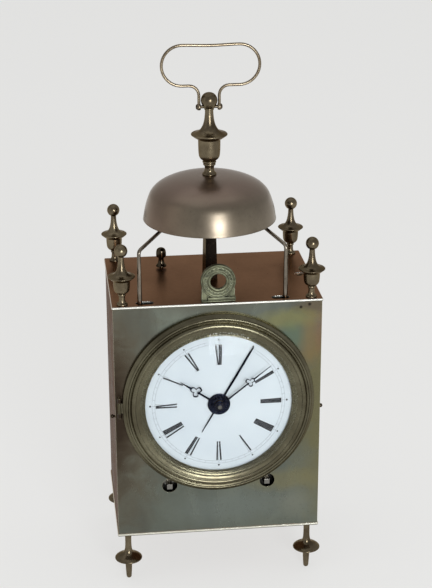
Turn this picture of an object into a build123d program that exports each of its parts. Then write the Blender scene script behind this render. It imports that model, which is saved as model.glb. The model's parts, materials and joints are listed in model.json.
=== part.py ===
from build123d import *
import os
from math import atan2, cos, degrees, radians, sin, sqrt

# French travelling alarm clock with a pendulum: brass case on four turned feet, bell and
# handle on top. Millimetres, front towards -Y, origin on the floor under the middle of the
# outside box. Heights are above the floor, depths are measured behind the front wall.

# Case
case_width = 120.0
case_depth = 84.0
case_height = 145.3
plate_thickness = 1.5
plate_lip = 0.5
sheet = 1.0
foot_height = 30.4
corner_inset_x = 6.2
corner_inset_y = 4.6
pillar_r = 1.9
door_gap = 0.2

# Fits
running_gap = 0.05
end_gap = 0.15
hand_gap = 0.25

# Feet and corner finials, turned
foot_stem_r = 1.85
foot_flange_r = 8.1
foot_flange_height = 13.4
foot_flange_edge = 0.9
foot_cone_r = 3.4
foot_cone_height = 18.0
foot_pin_r = 2.0
foot_tip_r = 1.3
foot_tip_height = 1.2
finial_base_r = 3.2
finial_base_height = 1.5
finial_neck_r = 1.7
finial_bead_r = 2.1
finial_bead_height = 6.0
finial_cup_r = 4.7
finial_cup_bottom = 7.0
finial_cup_top = 14.6
finial_flange_r = 7.6
finial_flange_height = 16.6
finial_flange_edge = 0.7
finial_spire_r = 3.0
finial_spire_top_r = 1.55
finial_ball_r = 3.7
finial_ball_height = 31.9

# Doors
door_tube_r = 1.2
door_pin_r = 0.6
door_pin_inset = 1.3
back_pin_inset = 5.2
door_pin_bite = 1.0
door_knob_r = 1.2
door_knob_stem_r = 0.6
door_knob_length = 2.7
door_knob_height = 106.0
side_knob_inset = 6.5
back_knob_r = 1.8
back_knob_length = 4.0
back_knob_inset = 9.0

# Bell, its post, its finial and the handle
bell_rim_r = 38.5
bell_rim_height = 213.0
bell_crown_height = 238.8
bell_seat_r = 7.0
bell_crown_r = 29.0
bell_crown_drop = 5.5
bell_shoulder_r = 34.5
bell_shoulder_drop = 11.0
bell_wall = 1.5
post_foot_width = 7.4
post_top_width = 4.9
post_turn = 8.0
stud_r = 2.4
stud_grip = 7.0
top_base_r = 4.0
top_base_height = 1.8
top_neck_r = 3.2
top_bead_r = 3.9
top_bead_height = 7.6
top_cup_r = 6.4
top_cup_bottom = 9.6
top_cup_top = 21.0
top_flange_r = 10.4
top_flange_height = 23.4
top_flange_edge = 0.9
top_spire_r = 4.6
top_spire_top_r = 2.4
top_ball_r = 4.7
top_ball_height = 43.2
handle_wire_r = 0.85
handle_pivot_drop = 3.5
handle_riser_x = 5.8
handle_bend_r = 4.4
handle_neck_height = 12.2
handle_lobe_r = 11.5
handle_lobe_left = 15.2
handle_lobe_right = 17.2
handle_eye_r = 2.0
handle_eye_half = 1.0
handle_pin_r = 0.9
handle_pin_head_r = 1.5
handle_pin_head = 0.8

# Crest and repeat knob on the top plate
crest_x = 1.6
crest_r = 9.9
crest_hole_r = 4.4
crest_thickness = 2.4
crest_inset = 3.4
crest_centre_height = 12.8
crest_ring_r = 7.4
crest_bead_r = 0.55
crest_beads = 18
crest_block_width = 19.3
crest_block_depth = 5.0
crest_block_height = 3.0
crest_base_height = 1.0
crest_bead_height = 0.4
crest_peg_r = 0.7
crest_peg_height = 4.6
crest_peg_gap = 0.4
knob_x = -26.9
knob_y = 20.5
knob_stem_r = 1.0
knob_ball_r = 3.0
knob_flare_r = 3.1
knob_flare_edge = 0.9
knob_waist_r = 1.9
knob_lift = 1.1
knob_height = 12.9
knob_tail = 16.0
knob_stop_r = 2.2
knob_stop_drop = 6.0
screw_inset = 6.8
screw_hole_r = 3.0
screw_r = 1.7
screw_length = 5.0

# Hammers
hammer_right_inset = 21.0
hammer_left_inset = 16.2
hammer_inset = 5.0
hammer_pivot_height = 150.0
hammer_bend_height = 206.7
hammer_foot_r = 1.7
hammer_bend_r = 1.05
hammer_rod_r = 1.0
hammer_hub_r = 3.2
hammer_hub_length = 3.0
hammer_arbor_r = 1.0
hammer_pass_x = 27.5
hammer_pass_back = 22.5
hammer_pass_height = 212.4
hammer_head_r = 3.0
hammer_head_length = 8.0
hammer_head_height = 219.5
hammer_strike_gap = 0.5
hammer_slot_half = 2.4
hammer_slot_reach = 5.5

# Dial, bezel and glass
dial_height = 114.5
dial_inset = 10.5
dial_rim = 1.3
dial_rise = 1.1
dial_hole_r = 4.0
front_hole_r = 6.0
bezel_side_gap = 4.5
bezel_foot_height = 1.9
bezel_ridge_inset = 2.6
bezel_ridge_bead_r = 0.7
bezel_ridge_height = 4.2
bezel_groove_inset = 4.6
bezel_groove_height = 3.7
bezel_crest_inset = 6.6
bezel_crest_bead_r = 1.85
bezel_crest_height = 4.3
bezel_hollow_inset = 8.5
bezel_hollow_depth = 2.4
bezel_hollow_wall = 0.5
bezel_sight_inset = 13.0
bezel_lip_bead_r = 0.45
bezel_lip_height = 3.8
bezel_lip_back = 2.1
bezel_back_gap = 0.15
bezel_hinge_out = 1.6
bezel_hinge_height = 1.6
bezel_knuckle_r = 1.2
bezel_pin_r = 0.6
bezel_knuckle_length = 6.0
bezel_eye_length = 3.0
glass_seat_inset = 9.9
glass_ledge = 0.7
glass_seat_height = 4.65
glass_seat_depth = 0.3
glass_thickness = 1.2
glass_rise = 5.55

# Hands: heights above the front wall
alarm_pipe_r = 3.9
hour_pipe_r = 3.0
cannon_r = 2.2
centre_arbor_r = 1.2
alarm_disc_r = 6.5
alarm_disc_height = 2.7
alarm_disc_thickness = 0.8
alarm_hand_gap = 2.5
alarm_tail_length = 20.0
alarm_hand_width = 1.3
alarm_cam_r = 5.4
alarm_cam_depth = 1.6
alarm_cam_notch = 1.4
alarm_hand_angle = 30.0
hour_hand_height = 3.9
hour_hand_length = 27.0
hour_hand_angle = 304.5
hour_hub_r = 4.3
hour_trefoil_at = 16.5
minute_hand_height = 5.4
minute_hand_gap = 5.0
minute_hand_angle = 51.5
minute_hub_r = 3.1
minute_trefoil_at = 22.5
hand_thickness = 0.6
hand_width = 0.85
hand_tip_width = 0.4
trefoil_r = 1.7
trefoil_inner_r = 1.05
trefoil_spread = 1.65
collet_r = 2.1
collet_height = 1.0
arbor_end_height = 7.6

# Movement: depths behind the front wall
front_frame_depth = 10.5
frame_plate = 1.5
frame_space = 41.5
frame_side_gap = 6.0
frame_top_gap = 2.2
frame_pillar_r = 2.4
frame_pillar_inset = 4.0
frame_pillar_low = 36.5
frame_pillar_high = 167.0
pivot_r = 0.6
arbor_r = 1.0
barrel_x = 28.8
barrel_height = 61.2
barrel_r = 22.5
barrel_length = 21.0
barrel_wall = 1.0
barrel_depth = 17.0
winding_square = 3.2
winding_arbor_r = 2.5
winding_hole_r = 4.5
winding_hole_rise = 1.1
winding_end_depth = 0.3
ratchet_r = 7.0
ratchet_teeth = 18
ratchet_depth = 6.0
ratchet_thickness = 1.6
spring_coils = 5
spring_strip = 0.9
spring_gap = 0.2
great_module = 0.9
great_teeth = 60
great_thickness = 2.5
drive_leaves = 10
second_teeth = 60
second_depth = 40.0
fine_module = 0.45
fine_teeth = 96
fine_leaves = 7
third_module = 0.42
centre_wheel_depth = 46.4
third_wheel_depth = 30.0
third_side = 12.0
wheel_thickness = 1.5
leaf_length = 4.0
pin_module = 0.6
pin_teeth = 60
pin_wheel_depth = 43.2
pin_ring_r = 14.0
pin_r = 0.7
pin_count = 8
pin_length = 2.2
fly_leaves = 7
fly_side = 16.0
fly_vane = 8.0
fly_vane_length = 14.0
fly_depth = 18.0
escape_teeth = 30
escape_tip_r = 9.5
escape_root_r = 7.8
escape_depth = 50.0
cannon_teeth = 12
cannon_module = 0.625
minute_teeth = 36
minute_leaves = 10
hour_teeth = 40
hour_module = 0.6
motion_depth = 7.6
motion_thickness = 1.5
hour_wheel_depth = 4.4
minute_wheel_turn = 180.0

# Pendulum, anchor and the cock that carries it
pendulum_pivot_height = 166.0
pendulum_length = 101.0
pendulum_room = 9.5
pendulum_rod_r = 0.9
pendulum_tail = 21.0
bob_r = 15.0
bob_thickness = 7.0
rating_nut_r = 3.2
rating_nut_height = 3.0
eye_r = 2.4
eye_thickness = 2.4
hook_pin_r = 1.0
anchor_span = 46.0
anchor_clearance = 1.2
pallet_width = 1.6
crutch_length = 34.0
crutch_r = 0.7
crutch_gap = 0.15
cock_width = 18.0
cock_height = 4.0
cock_lug_width = 6.0
cock_reach = 5.0
cock_lug = 1.5

# Heights and faces that follow from the sizes above
plate_low = foot_height
floor_height = plate_low + plate_thickness
plate_high = plate_low + case_height
ceiling_height = plate_high - plate_thickness
wall_height = ceiling_height - floor_height
glass_reach = glass_seat_height + glass_thickness + glass_rise
mid_y = (glass_reach - back_knob_length) / 2
front_y = mid_y - case_depth / 2 + plate_lip
back_y = mid_y + case_depth / 2 - plate_lip
side_x = case_width / 2 - plate_lip
corner_x = case_width / 2 - corner_inset_x
corner_y = case_depth / 2 - corner_inset_y
corners = {
    "front_left": (-corner_x, mid_y - corner_y),
    "front_right": (corner_x, mid_y - corner_y),
    "back_left": (-corner_x, mid_y + corner_y),
    "back_right": (corner_x, mid_y + corner_y),
}
back_frame_depth = front_frame_depth + frame_plate + frame_space
back_plate_face = back_frame_depth + frame_plate
pendulum_depth = back_plate_face + pendulum_room
cock_lug_depth = back_plate_face + cock_reach
barrel_end_depth = barrel_depth + barrel_length
frame_half_width = case_width / 2 - frame_side_gap
frame_pillar_x = frame_half_width - frame_pillar_inset
screw_x = case_width / 2 - screw_inset
bezel_r = case_width / 2 - bezel_side_gap
bezel_ridge_r = bezel_r - bezel_ridge_inset
bezel_groove_r = bezel_r - bezel_groove_inset
bezel_crest_r = bezel_r - bezel_crest_inset
bezel_hollow_r = bezel_r - bezel_hollow_inset
bezel_sight_r = bezel_r - bezel_sight_inset
glass_seat_r = bezel_r - glass_seat_inset
dial_r = bezel_r - dial_inset
alarm_hand_length = bezel_sight_r - alarm_hand_gap
minute_hand_length = bezel_sight_r - minute_hand_gap
hammer_right_x = case_width / 2 - hammer_right_inset
hammer_left_x = hammer_left_inset - case_width / 2


def level(height):
    """Horizontal plane over the middle of the case."""
    return Plane(origin=(0, mid_y, height), x_dir=(1, 0, 0), z_dir=(0, 0, 1))


def facing(at, depth):
    """Upright plane that faces the front, centred on (x, height), behind the front wall."""
    return Plane(origin=(at[0], front_y + depth, at[1]), x_dir=(1, 0, 0), z_dir=(0, -1, 0))


def upright(at):
    """Upright plane through a vertical axis at (x, y), for turned profiles."""
    return Plane(origin=(at[0], at[1], 0), x_dir=(1, 0, 0), z_dir=(0, -1, 0))


def vertical(at):
    return Axis((at[0], at[1], 0), (0, 0, 1))


def straight_in(at):
    return Axis((at[0], 0, at[1]), (0, 1, 0))


def turned(at, *outline):
    """Piece turned about a vertical axis from (radius, height) points."""
    with BuildPart() as piece:
        with BuildSketch(upright(at)):
            with BuildLine():
                Polyline(*outline, close=True)
            make_face()
        revolve(axis=vertical(at))
    return piece.part


def arbor(at, first, last, radius):
    """Round rod that runs from one depth to another."""
    with BuildPart() as rod:
        with BuildSketch(facing(at, last)):
            Circle(radius)
        extrude(amount=last - first)
    return rod.part


def gear_points(teeth, module, phase):
    """Straight flanked teeth with plenty of backlash; one tooth stands at the phase angle."""
    tip_r = module * (teeth / 2 + 0.9)
    root_r = module * (teeth / 2 - 1.2)
    step = 360 / teeth
    corners_of_tooth = ((root_r, -0.30), (tip_r, -0.11), (tip_r, 0.11), (root_r, 0.30))
    points = []
    for tooth in range(teeth):
        for radius, share in corners_of_tooth:
            angle = radians(phase + (tooth + share) * step)
            points.append((radius * sin(angle), radius * cos(angle)))
    return points


def toothed(at, depth, thickness, teeth, module, phase, spokes=0):
    """Wheel or pinion whose front face is at a depth, crossed out where it has spokes."""
    rim_r = module * (teeth / 2 - 1.2) - 2.2 * module - 0.6
    boss_r = rim_r * 0.30
    with BuildPart() as wheel:
        with BuildSketch(facing(at, depth + thickness)):
            with BuildLine():
                Polyline(*gear_points(teeth, module, phase), close=True)
            make_face()
        extrude(amount=thickness)
        if spokes:
            with BuildSketch(facing(at, depth + thickness)):
                Circle(rim_r)
                Circle(boss_r, mode=Mode.SUBTRACT)
                with PolarLocations(rim_r / 2 + boss_r / 2, spokes):
                    Rectangle(rim_r + boss_r, rim_r * 0.13, mode=Mode.SUBTRACT)
            extrude(amount=thickness, mode=Mode.SUBTRACT)
    return wheel.part


def bearing(start, end):
    """Clock angle from one centre to another, seen from the front."""
    return degrees(atan2(end[0] - start[0], end[1] - start[1]))


def meshed_phase(driver_at, driver_teeth, driver_phase, at, teeth):
    """Phase at which a gear's gap meets the driver's tooth."""
    line = bearing(driver_at, at)
    return line + 180 - (driver_phase - line) * driver_teeth / teeth + 180 / teeth


def held_arbor(at, radius=arbor_r):
    """Arbor between the movement plates, with its two thinner pivots."""
    inner_front = front_frame_depth + frame_plate
    with BuildPart() as rod:
        add(arbor(at, inner_front + end_gap, back_frame_depth - end_gap, radius))
        add(arbor(at, front_frame_depth, back_frame_depth + frame_plate, pivot_r))
    return rod.part


# Places of the arbors, worked out from the gears' centre distances
centre_at = (0.0, dial_height)
going_at = (barrel_x, barrel_height)
strike_at = (-barrel_x, barrel_height)
drive_distance = great_module * (great_teeth + drive_leaves) / 2
barrel_line = (centre_at[0] - going_at[0], centre_at[1] - going_at[1])
barrel_span = sqrt(barrel_line[0] ** 2 + barrel_line[1] ** 2)
side_step = sqrt(drive_distance**2 - (barrel_span / 2) ** 2)
second_at = (
    going_at[0] + barrel_line[0] / 2 + side_step * barrel_line[1] / barrel_span,
    going_at[1] + barrel_line[1] / 2 - side_step * barrel_line[0] / barrel_span,
)
pin_wheel_at = (-second_at[0], second_at[1])
third_distance = fine_module * (fine_teeth + fine_leaves) / 2
third_at = (-third_side, dial_height + sqrt(third_distance**2 - third_side**2))
escape_distance = third_module * (fine_teeth + fine_leaves) / 2
escape_at = (0.0, third_at[1] + sqrt(escape_distance**2 - third_side**2))
fly_distance = pin_module * (pin_teeth + fly_leaves) / 2
fly_at = (
    pin_wheel_at[0] - fly_side,
    pin_wheel_at[1] + sqrt(fly_distance**2 - fly_side**2),
)
pendulum_at = (0.0, pendulum_pivot_height)
motion_distance = cannon_module * (cannon_teeth + minute_teeth) / 2
minute_wheel_at = (
    motion_distance * sin(radians(minute_wheel_turn)),
    dial_height + motion_distance * cos(radians(minute_wheel_turn)),
)
frame_top = ceiling_height - frame_top_gap
train_places = (second_at, pin_wheel_at, centre_at, third_at, escape_at, fly_at)

# Places of the door pins, the hammers and the crest
door_pin_x = side_x - door_pin_inset
side_pin_y = back_y - sheet - door_pin_inset
back_pin_x = side_x - back_pin_inset
back_pin_y = back_y + plate_lip - door_tube_r
door_pins = ((-door_pin_x, side_pin_y), (door_pin_x, side_pin_y), (-back_pin_x, back_pin_y))
hammer_y = front_y + hammer_inset
hammer_slots = ((hammer_right_x, -1), (hammer_left_x, 1))
crest_y = front_y + crest_inset
knob_at = (knob_x, mid_y + knob_y)


def corner_places():
    return [(x, y - mid_y) for x, y in corners.values()]


def pin_places():
    return [(x, y - mid_y) for x, y in door_pins]


# Bottom and top plates, with rounded edges
with BuildPart() as bottom_plate:
    with BuildSketch(level(plate_low)):
        Rectangle(case_width, case_depth)
    extrude(amount=plate_thickness)
    fillet(bottom_plate.edges().filter_by(Axis.Z), plate_thickness / 2)
    chamfer(bottom_plate.faces().sort_by(Axis.Z)[-1].outer_wire().edges(), plate_thickness / 5)
    chamfer(bottom_plate.faces().sort_by(Axis.Z)[0].outer_wire().edges(), plate_thickness / 5)
    with BuildSketch(level(plate_low)):
        with Locations(*corner_places()):
            Circle(pillar_r)
    extrude(amount=plate_thickness, mode=Mode.SUBTRACT)
    with BuildSketch(level(floor_height - door_pin_bite)):
        with Locations(*pin_places()):
            Circle(door_pin_r)
    extrude(amount=door_pin_bite, mode=Mode.SUBTRACT)

with BuildPart() as top_plate:
    with BuildSketch(level(ceiling_height)):
        Rectangle(case_width, case_depth)
    extrude(amount=plate_thickness)
    fillet(top_plate.edges().filter_by(Axis.Z), plate_thickness / 2)
    chamfer(top_plate.faces().sort_by(Axis.Z)[-1].outer_wire().edges(), plate_thickness / 5)
    chamfer(top_plate.faces().sort_by(Axis.Z)[0].outer_wire().edges(), plate_thickness / 5)
    with BuildSketch(level(ceiling_height)):
        with Locations(*corner_places()):
            Circle(pillar_r)
        with Locations((knob_x, knob_y)):
            Circle(knob_stem_r + running_gap)
        with Locations((screw_x, 0), (-screw_x, 0)):
            Circle(screw_r)
        for slot_x, inward in hammer_slots:
            with Locations((slot_x + inward * hammer_slot_reach / 2, hammer_y - mid_y)):
                SlotOverall(2 * hammer_slot_half + hammer_slot_reach, 2 * hammer_slot_half)
    extrude(amount=plate_thickness, mode=Mode.SUBTRACT)
    with BuildSketch(level(plate_high - plate_thickness / 2)):
        with Locations((screw_x, 0), (-screw_x, 0)):
            Circle(screw_hole_r)
    extrude(amount=plate_thickness / 2, mode=Mode.SUBTRACT)
    with BuildSketch(level(ceiling_height)):
        with Locations(*pin_places()):
            Circle(door_pin_r)
    extrude(amount=door_pin_bite, mode=Mode.SUBTRACT)

# Two screws sunk in the top plate; what they hold inside the case is not known
with BuildPart() as top_plate_screws:
    with BuildSketch(level(ceiling_height - screw_length)):
        with Locations((screw_x, 0), (-screw_x, 0)):
            Circle(screw_r)
    extrude(amount=screw_length + plate_thickness)

# Four rods between the plates; the feet and the finials screw on their ends
with BuildPart() as corner_pillars:
    with BuildSketch(level(plate_low)):
        with Locations(*corner_places()):
            Circle(pillar_r)
    extrude(amount=case_height)


def turned_foot(at):
    waist = foot_flange_height + foot_flange_edge
    with BuildPart() as foot:
        with BuildSketch(upright(at)):
            with BuildLine():
                Polyline(
                    (foot_flange_r, waist),
                    (foot_flange_r, foot_flange_height),
                    (foot_cone_r, foot_flange_height - foot_flange_edge),
                    (foot_pin_r, foot_flange_height - 2 * foot_flange_edge),
                    (foot_pin_r, foot_tip_height),
                    (foot_tip_r, 0),
                    (0, 0),
                    (0, plate_low),
                    (foot_stem_r, plate_low),
                    (foot_stem_r, foot_cone_height),
                )
                ThreePointArc(
                    (foot_stem_r, foot_cone_height),
                    (foot_cone_r, foot_cone_height / 2 + waist / 2 - foot_flange_edge),
                    (foot_flange_r, waist),
                )
            make_face()
        revolve(axis=vertical(at))
    return foot.part


def turned_finial(at, seat, base, neck_r, bead, cup, flange, spire, ball):
    """Base ring, neck with a bead, cup, saucer, spire and ball, up from the seat."""
    base_r, base_height = base
    bead_r, bead_height = bead
    cup_r, cup_bottom, cup_top = cup
    flange_r, flange_height, flange_edge = flange
    spire_r, spire_top_r = spire
    ball_r, ball_height = ball
    bead_half = bead_r - neck_r
    saucer_top = flange_height + flange_edge
    ball_foot = ball_height - sqrt(ball_r**2 - spire_top_r**2)
    cup_belly = (cup_r * 0.72 + neck_r * 0.28, cup_bottom * 0.68 + cup_top * 0.32)
    spire_waist = (spire_r * 0.25 + spire_top_r * 0.75, saucer_top * 0.68 + ball_foot * 0.32)
    with BuildPart() as finial:
        with BuildSketch(upright(at)):
            with BuildLine():
                Polyline(
                    (0, seat),
                    (base_r, seat),
                    (base_r, seat + base_height * 0.6),
                    (neck_r, seat + base_height + base_r - neck_r),
                    (neck_r, seat + bead_height - bead_half),
                )
                ThreePointArc(
                    (neck_r, seat + bead_height - bead_half),
                    (bead_r, seat + bead_height),
                    (neck_r, seat + bead_height + bead_half),
                )
                Line((neck_r, seat + bead_height + bead_half), (neck_r, seat + cup_bottom))
                ThreePointArc(
                    (neck_r, seat + cup_bottom),
                    (cup_belly[0], seat + cup_belly[1]),
                    (cup_r, seat + cup_top),
                )
                Polyline(
                    (cup_r, seat + cup_top),
                    (flange_r, seat + flange_height),
                    (flange_r, seat + saucer_top),
                    (spire_r, seat + saucer_top + flange_edge / 2),
                )
                ThreePointArc(
                    (spire_r, seat + saucer_top + flange_edge / 2),
                    (spire_waist[0], seat + spire_waist[1]),
                    (spire_top_r, seat + ball_foot),
                )
                ThreePointArc(
                    (spire_top_r, seat + ball_foot),
                    (ball_r, seat + ball_height),
                    (0, seat + ball_height + ball_r),
                )
                Line((0, seat + ball_height + ball_r), (0, seat))
            make_face()
        revolve(axis=vertical(at))
    return finial.part


# Front wall: holes for the pipes of the hands and the winding squares, eyes of the bezel hinge
bezel_hinge_x = -(bezel_r + bezel_hinge_out)
bezel_hinge_y = front_y - bezel_hinge_height
eye_low = dial_height - bezel_knuckle_length / 2 - door_gap - bezel_eye_length
eye_high = dial_height + bezel_knuckle_length / 2 + door_gap
arm_pivots = ((hammer_right_x, hammer_pivot_height), (hammer_left_x, hammer_pivot_height))
winding_holes = [(at[0], at[1] + winding_hole_rise) for at in (going_at, strike_at)]

with BuildPart() as front_plate:
    with BuildSketch(Plane(origin=(0, front_y + sheet, 0), x_dir=(1, 0, 0), z_dir=(0, -1, 0))):
        with Locations((0, floor_height + wall_height / 2)):
            Rectangle(2 * side_x, wall_height)
        with Locations(centre_at):
            Circle(front_hole_r, mode=Mode.SUBTRACT)
        with Locations(*winding_holes):
            Circle(winding_hole_r, mode=Mode.SUBTRACT)
    extrude(amount=sheet)
    with BuildSketch(Plane(origin=(0, front_y + sheet, 0), x_dir=(1, 0, 0), z_dir=(0, -1, 0))):
        with Locations(*arm_pivots):
            Circle(pivot_r + running_gap)
    extrude(amount=sheet / 2, mode=Mode.SUBTRACT)
    for eye_foot in (eye_low, eye_high):
        with BuildSketch(Plane.XY.offset(eye_foot)):
            with Locations((bezel_hinge_x, bezel_hinge_y)):
                Circle(bezel_knuckle_r)
            with Locations((bezel_hinge_x, front_y - bezel_hinge_height / 2)):
                Rectangle(2 * bezel_pin_r, bezel_hinge_height)
            with Locations((bezel_hinge_x, bezel_hinge_y)):
                Circle(bezel_pin_r, mode=Mode.SUBTRACT)
        extrude(amount=bezel_eye_length)

with BuildPart() as bezel_hinge_pin:
    with BuildSketch(Plane.XY.offset(eye_low)):
        with Locations((bezel_hinge_x, bezel_hinge_y)):
            Circle(bezel_pin_r)
    extrude(amount=eye_high + bezel_eye_length - eye_low)


def side_door(side):
    """Door on one side: -1 is the left one. A rolled tube on its back edge takes the pin."""
    panel_front = front_y + sheet + door_gap
    panel_length = side_pin_y - panel_front
    with BuildPart() as door:
        with BuildSketch(Plane.XY.offset(floor_height + door_gap)):
            with Locations((side * (side_x - sheet / 2), panel_front + panel_length / 2)):
                Rectangle(sheet, panel_length)
            with Locations((side * door_pin_x, side_pin_y)):
                Circle(door_tube_r)
                Circle(door_pin_r + running_gap, mode=Mode.SUBTRACT)
        extrude(amount=wall_height - 2 * door_gap)
    return door.part


def knob(seat, ball_r, stem_r, length):
    """Small turned knob that stands out of a door along the plane's normal."""
    with BuildPart() as piece:
        with BuildSketch(seat):
            Circle(stem_r)
        extrude(amount=length - ball_r)
        with Locations(seat.offset(length - ball_r)):
            Sphere(ball_r)
    return piece.part


def side_knob(side):
    return knob(
        Plane(
            origin=(side * side_x, front_y + side_knob_inset, door_knob_height),
            x_dir=(0, 1, 0),
            z_dir=(side, 0, 0),
        ),
        door_knob_r,
        door_knob_stem_r,
        door_knob_length,
    )


back_panel_end = door_pin_x - door_tube_r - door_gap
with BuildPart() as back_door:
    with BuildSketch(Plane.XY.offset(floor_height + door_gap)):
        with Locations(((back_panel_end - back_pin_x) / 2, back_y - sheet / 2)):
            Rectangle(back_panel_end + back_pin_x, sheet)
        with Locations((-back_pin_x, back_pin_y)):
            Circle(door_tube_r)
            Circle(door_pin_r + running_gap, mode=Mode.SUBTRACT)
    extrude(amount=wall_height - 2 * door_gap)

back_door_knob = knob(
    Plane(
        origin=(back_panel_end - back_knob_inset, back_y, door_knob_height),
        x_dir=(-1, 0, 0),
        z_dir=(0, 1, 0),
    ),
    back_knob_r,
    door_knob_stem_r,
    back_knob_length,
)

with BuildPart() as door_hinge_pins:
    with BuildSketch(Plane.XY.offset(floor_height - door_pin_bite)):
        with Locations(*door_pins):
            Circle(door_pin_r)
    extrude(amount=wall_height + 2 * door_pin_bite)

# Bell: flat seat, flat crown, tight shoulder and a nearly upright wall
bell_at = (0, mid_y)
crown_inside = bell_crown_height - bell_wall
with BuildPart() as bell:
    with BuildSketch(upright(bell_at)):
        with BuildLine():
            bell_seat = Line((stud_r, bell_crown_height), (bell_seat_r, bell_crown_height))
            bell_crown = TangentArc(
                bell_seat @ 1,
                (bell_crown_r, bell_crown_height - bell_crown_drop),
                tangent=(1, 0),
            )
            bell_shoulder = TangentArc(
                bell_crown @ 1,
                (bell_shoulder_r, bell_crown_height - bell_shoulder_drop),
                tangent=bell_crown % 1,
            )
            TangentArc(bell_shoulder @ 1, (bell_rim_r, bell_rim_height), tangent=bell_shoulder % 1)
            offset(amount=bell_wall, side=Side.RIGHT)
        make_face()
    revolve(axis=vertical(bell_at))

# Square iron post, turned a little, with the round stud that the bell's finial screws on
with BuildPart() as bell_post:
    with BuildSketch(level(plate_high)):
        Rectangle(post_foot_width, post_foot_width, rotation=post_turn)
    with BuildSketch(level(crown_inside)):
        Rectangle(post_top_width, post_top_width, rotation=post_turn)
    loft()
    with BuildSketch(level(crown_inside)):
        Circle(stud_r)
    extrude(amount=bell_wall + stud_grip)

handle_pivot = bell_crown_height + top_ball_height - handle_pivot_drop
pin_axis = Plane(origin=(0, mid_y, handle_pivot), x_dir=(0, 1, 0), z_dir=(1, 0, 0))
with BuildPart() as bell_finial:
    add(
        turned_finial(
            bell_at,
            bell_crown_height,
            (top_base_r, top_base_height),
            top_neck_r,
            (top_bead_r, top_bead_height),
            (top_cup_r, top_cup_bottom, top_cup_top),
            (top_flange_r, top_flange_height, top_flange_edge),
            (top_spire_r, top_spire_top_r),
            (top_ball_r, top_ball_height),
        )
    )
    with BuildSketch(level(bell_crown_height)):
        Circle(stud_r + running_gap)
    extrude(amount=stud_grip + end_gap, mode=Mode.SUBTRACT)
    with BuildSketch(pin_axis):
        Circle(handle_pin_r)
    extrude(amount=top_ball_r, both=True, mode=Mode.SUBTRACT)

# Handle: steel wire bent to a flat loop, with an eye at each end that turns on the pin
neck_z = handle_pivot + handle_neck_height
loop_top = neck_z + 2 * handle_lobe_r
left_lobe_edge = -handle_lobe_left - handle_lobe_r
right_lobe_edge = handle_lobe_right + handle_lobe_r
bend_start = neck_z - handle_bend_r
bend_side = handle_riser_x + handle_bend_r
bend_middle = handle_bend_r * (1 - sqrt(0.5))
with BuildPart() as handle:
    with BuildLine(Plane(origin=(0, mid_y, 0), x_dir=(1, 0, 0), z_dir=(0, -1, 0))):
        Line((-handle_riser_x, handle_pivot), (-handle_riser_x, bend_start))
        ThreePointArc(
            (-handle_riser_x, bend_start),
            (-handle_riser_x - bend_middle, neck_z - bend_middle),
            (-bend_side, neck_z),
        )
        Line((-bend_side, neck_z), (-handle_lobe_left, neck_z))
        ThreePointArc(
            (-handle_lobe_left, neck_z),
            (left_lobe_edge, neck_z + handle_lobe_r),
            (-handle_lobe_left, loop_top),
        )
        Line((-handle_lobe_left, loop_top), (handle_lobe_right, loop_top))
        ThreePointArc(
            (handle_lobe_right, loop_top),
            (right_lobe_edge, neck_z + handle_lobe_r),
            (handle_lobe_right, neck_z),
        )
        Line((handle_lobe_right, neck_z), (bend_side, neck_z))
        ThreePointArc(
            (bend_side, neck_z),
            (handle_riser_x + bend_middle, neck_z - bend_middle),
            (handle_riser_x, bend_start),
        )
        Line((handle_riser_x, bend_start), (handle_riser_x, handle_pivot))
    with BuildSketch(Plane(origin=(-handle_riser_x, mid_y, handle_pivot), z_dir=(0, 0, 1))):
        Circle(handle_wire_r)
    sweep()
    for eye_side in (-1, 1):
        with BuildSketch(pin_axis.offset(eye_side * handle_riser_x - handle_eye_half)):
            Circle(handle_eye_r)
        extrude(amount=2 * handle_eye_half)
    with BuildSketch(pin_axis.offset(-handle_riser_x - 2 * handle_eye_half)):
        Circle(handle_pin_r + running_gap)
    extrude(amount=2 * handle_riser_x + 4 * handle_eye_half, mode=Mode.SUBTRACT)

with BuildPart() as handle_pin:
    head_seat = handle_riser_x + handle_eye_half + running_gap
    with BuildSketch(pin_axis.offset(-head_seat)):
        Circle(handle_pin_r)
    extrude(amount=2 * head_seat)
    for head_at in (-head_seat - handle_pin_head, head_seat):
        with BuildSketch(pin_axis.offset(head_at)):
            Circle(handle_pin_head_r)
        extrude(amount=handle_pin_head)

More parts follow.
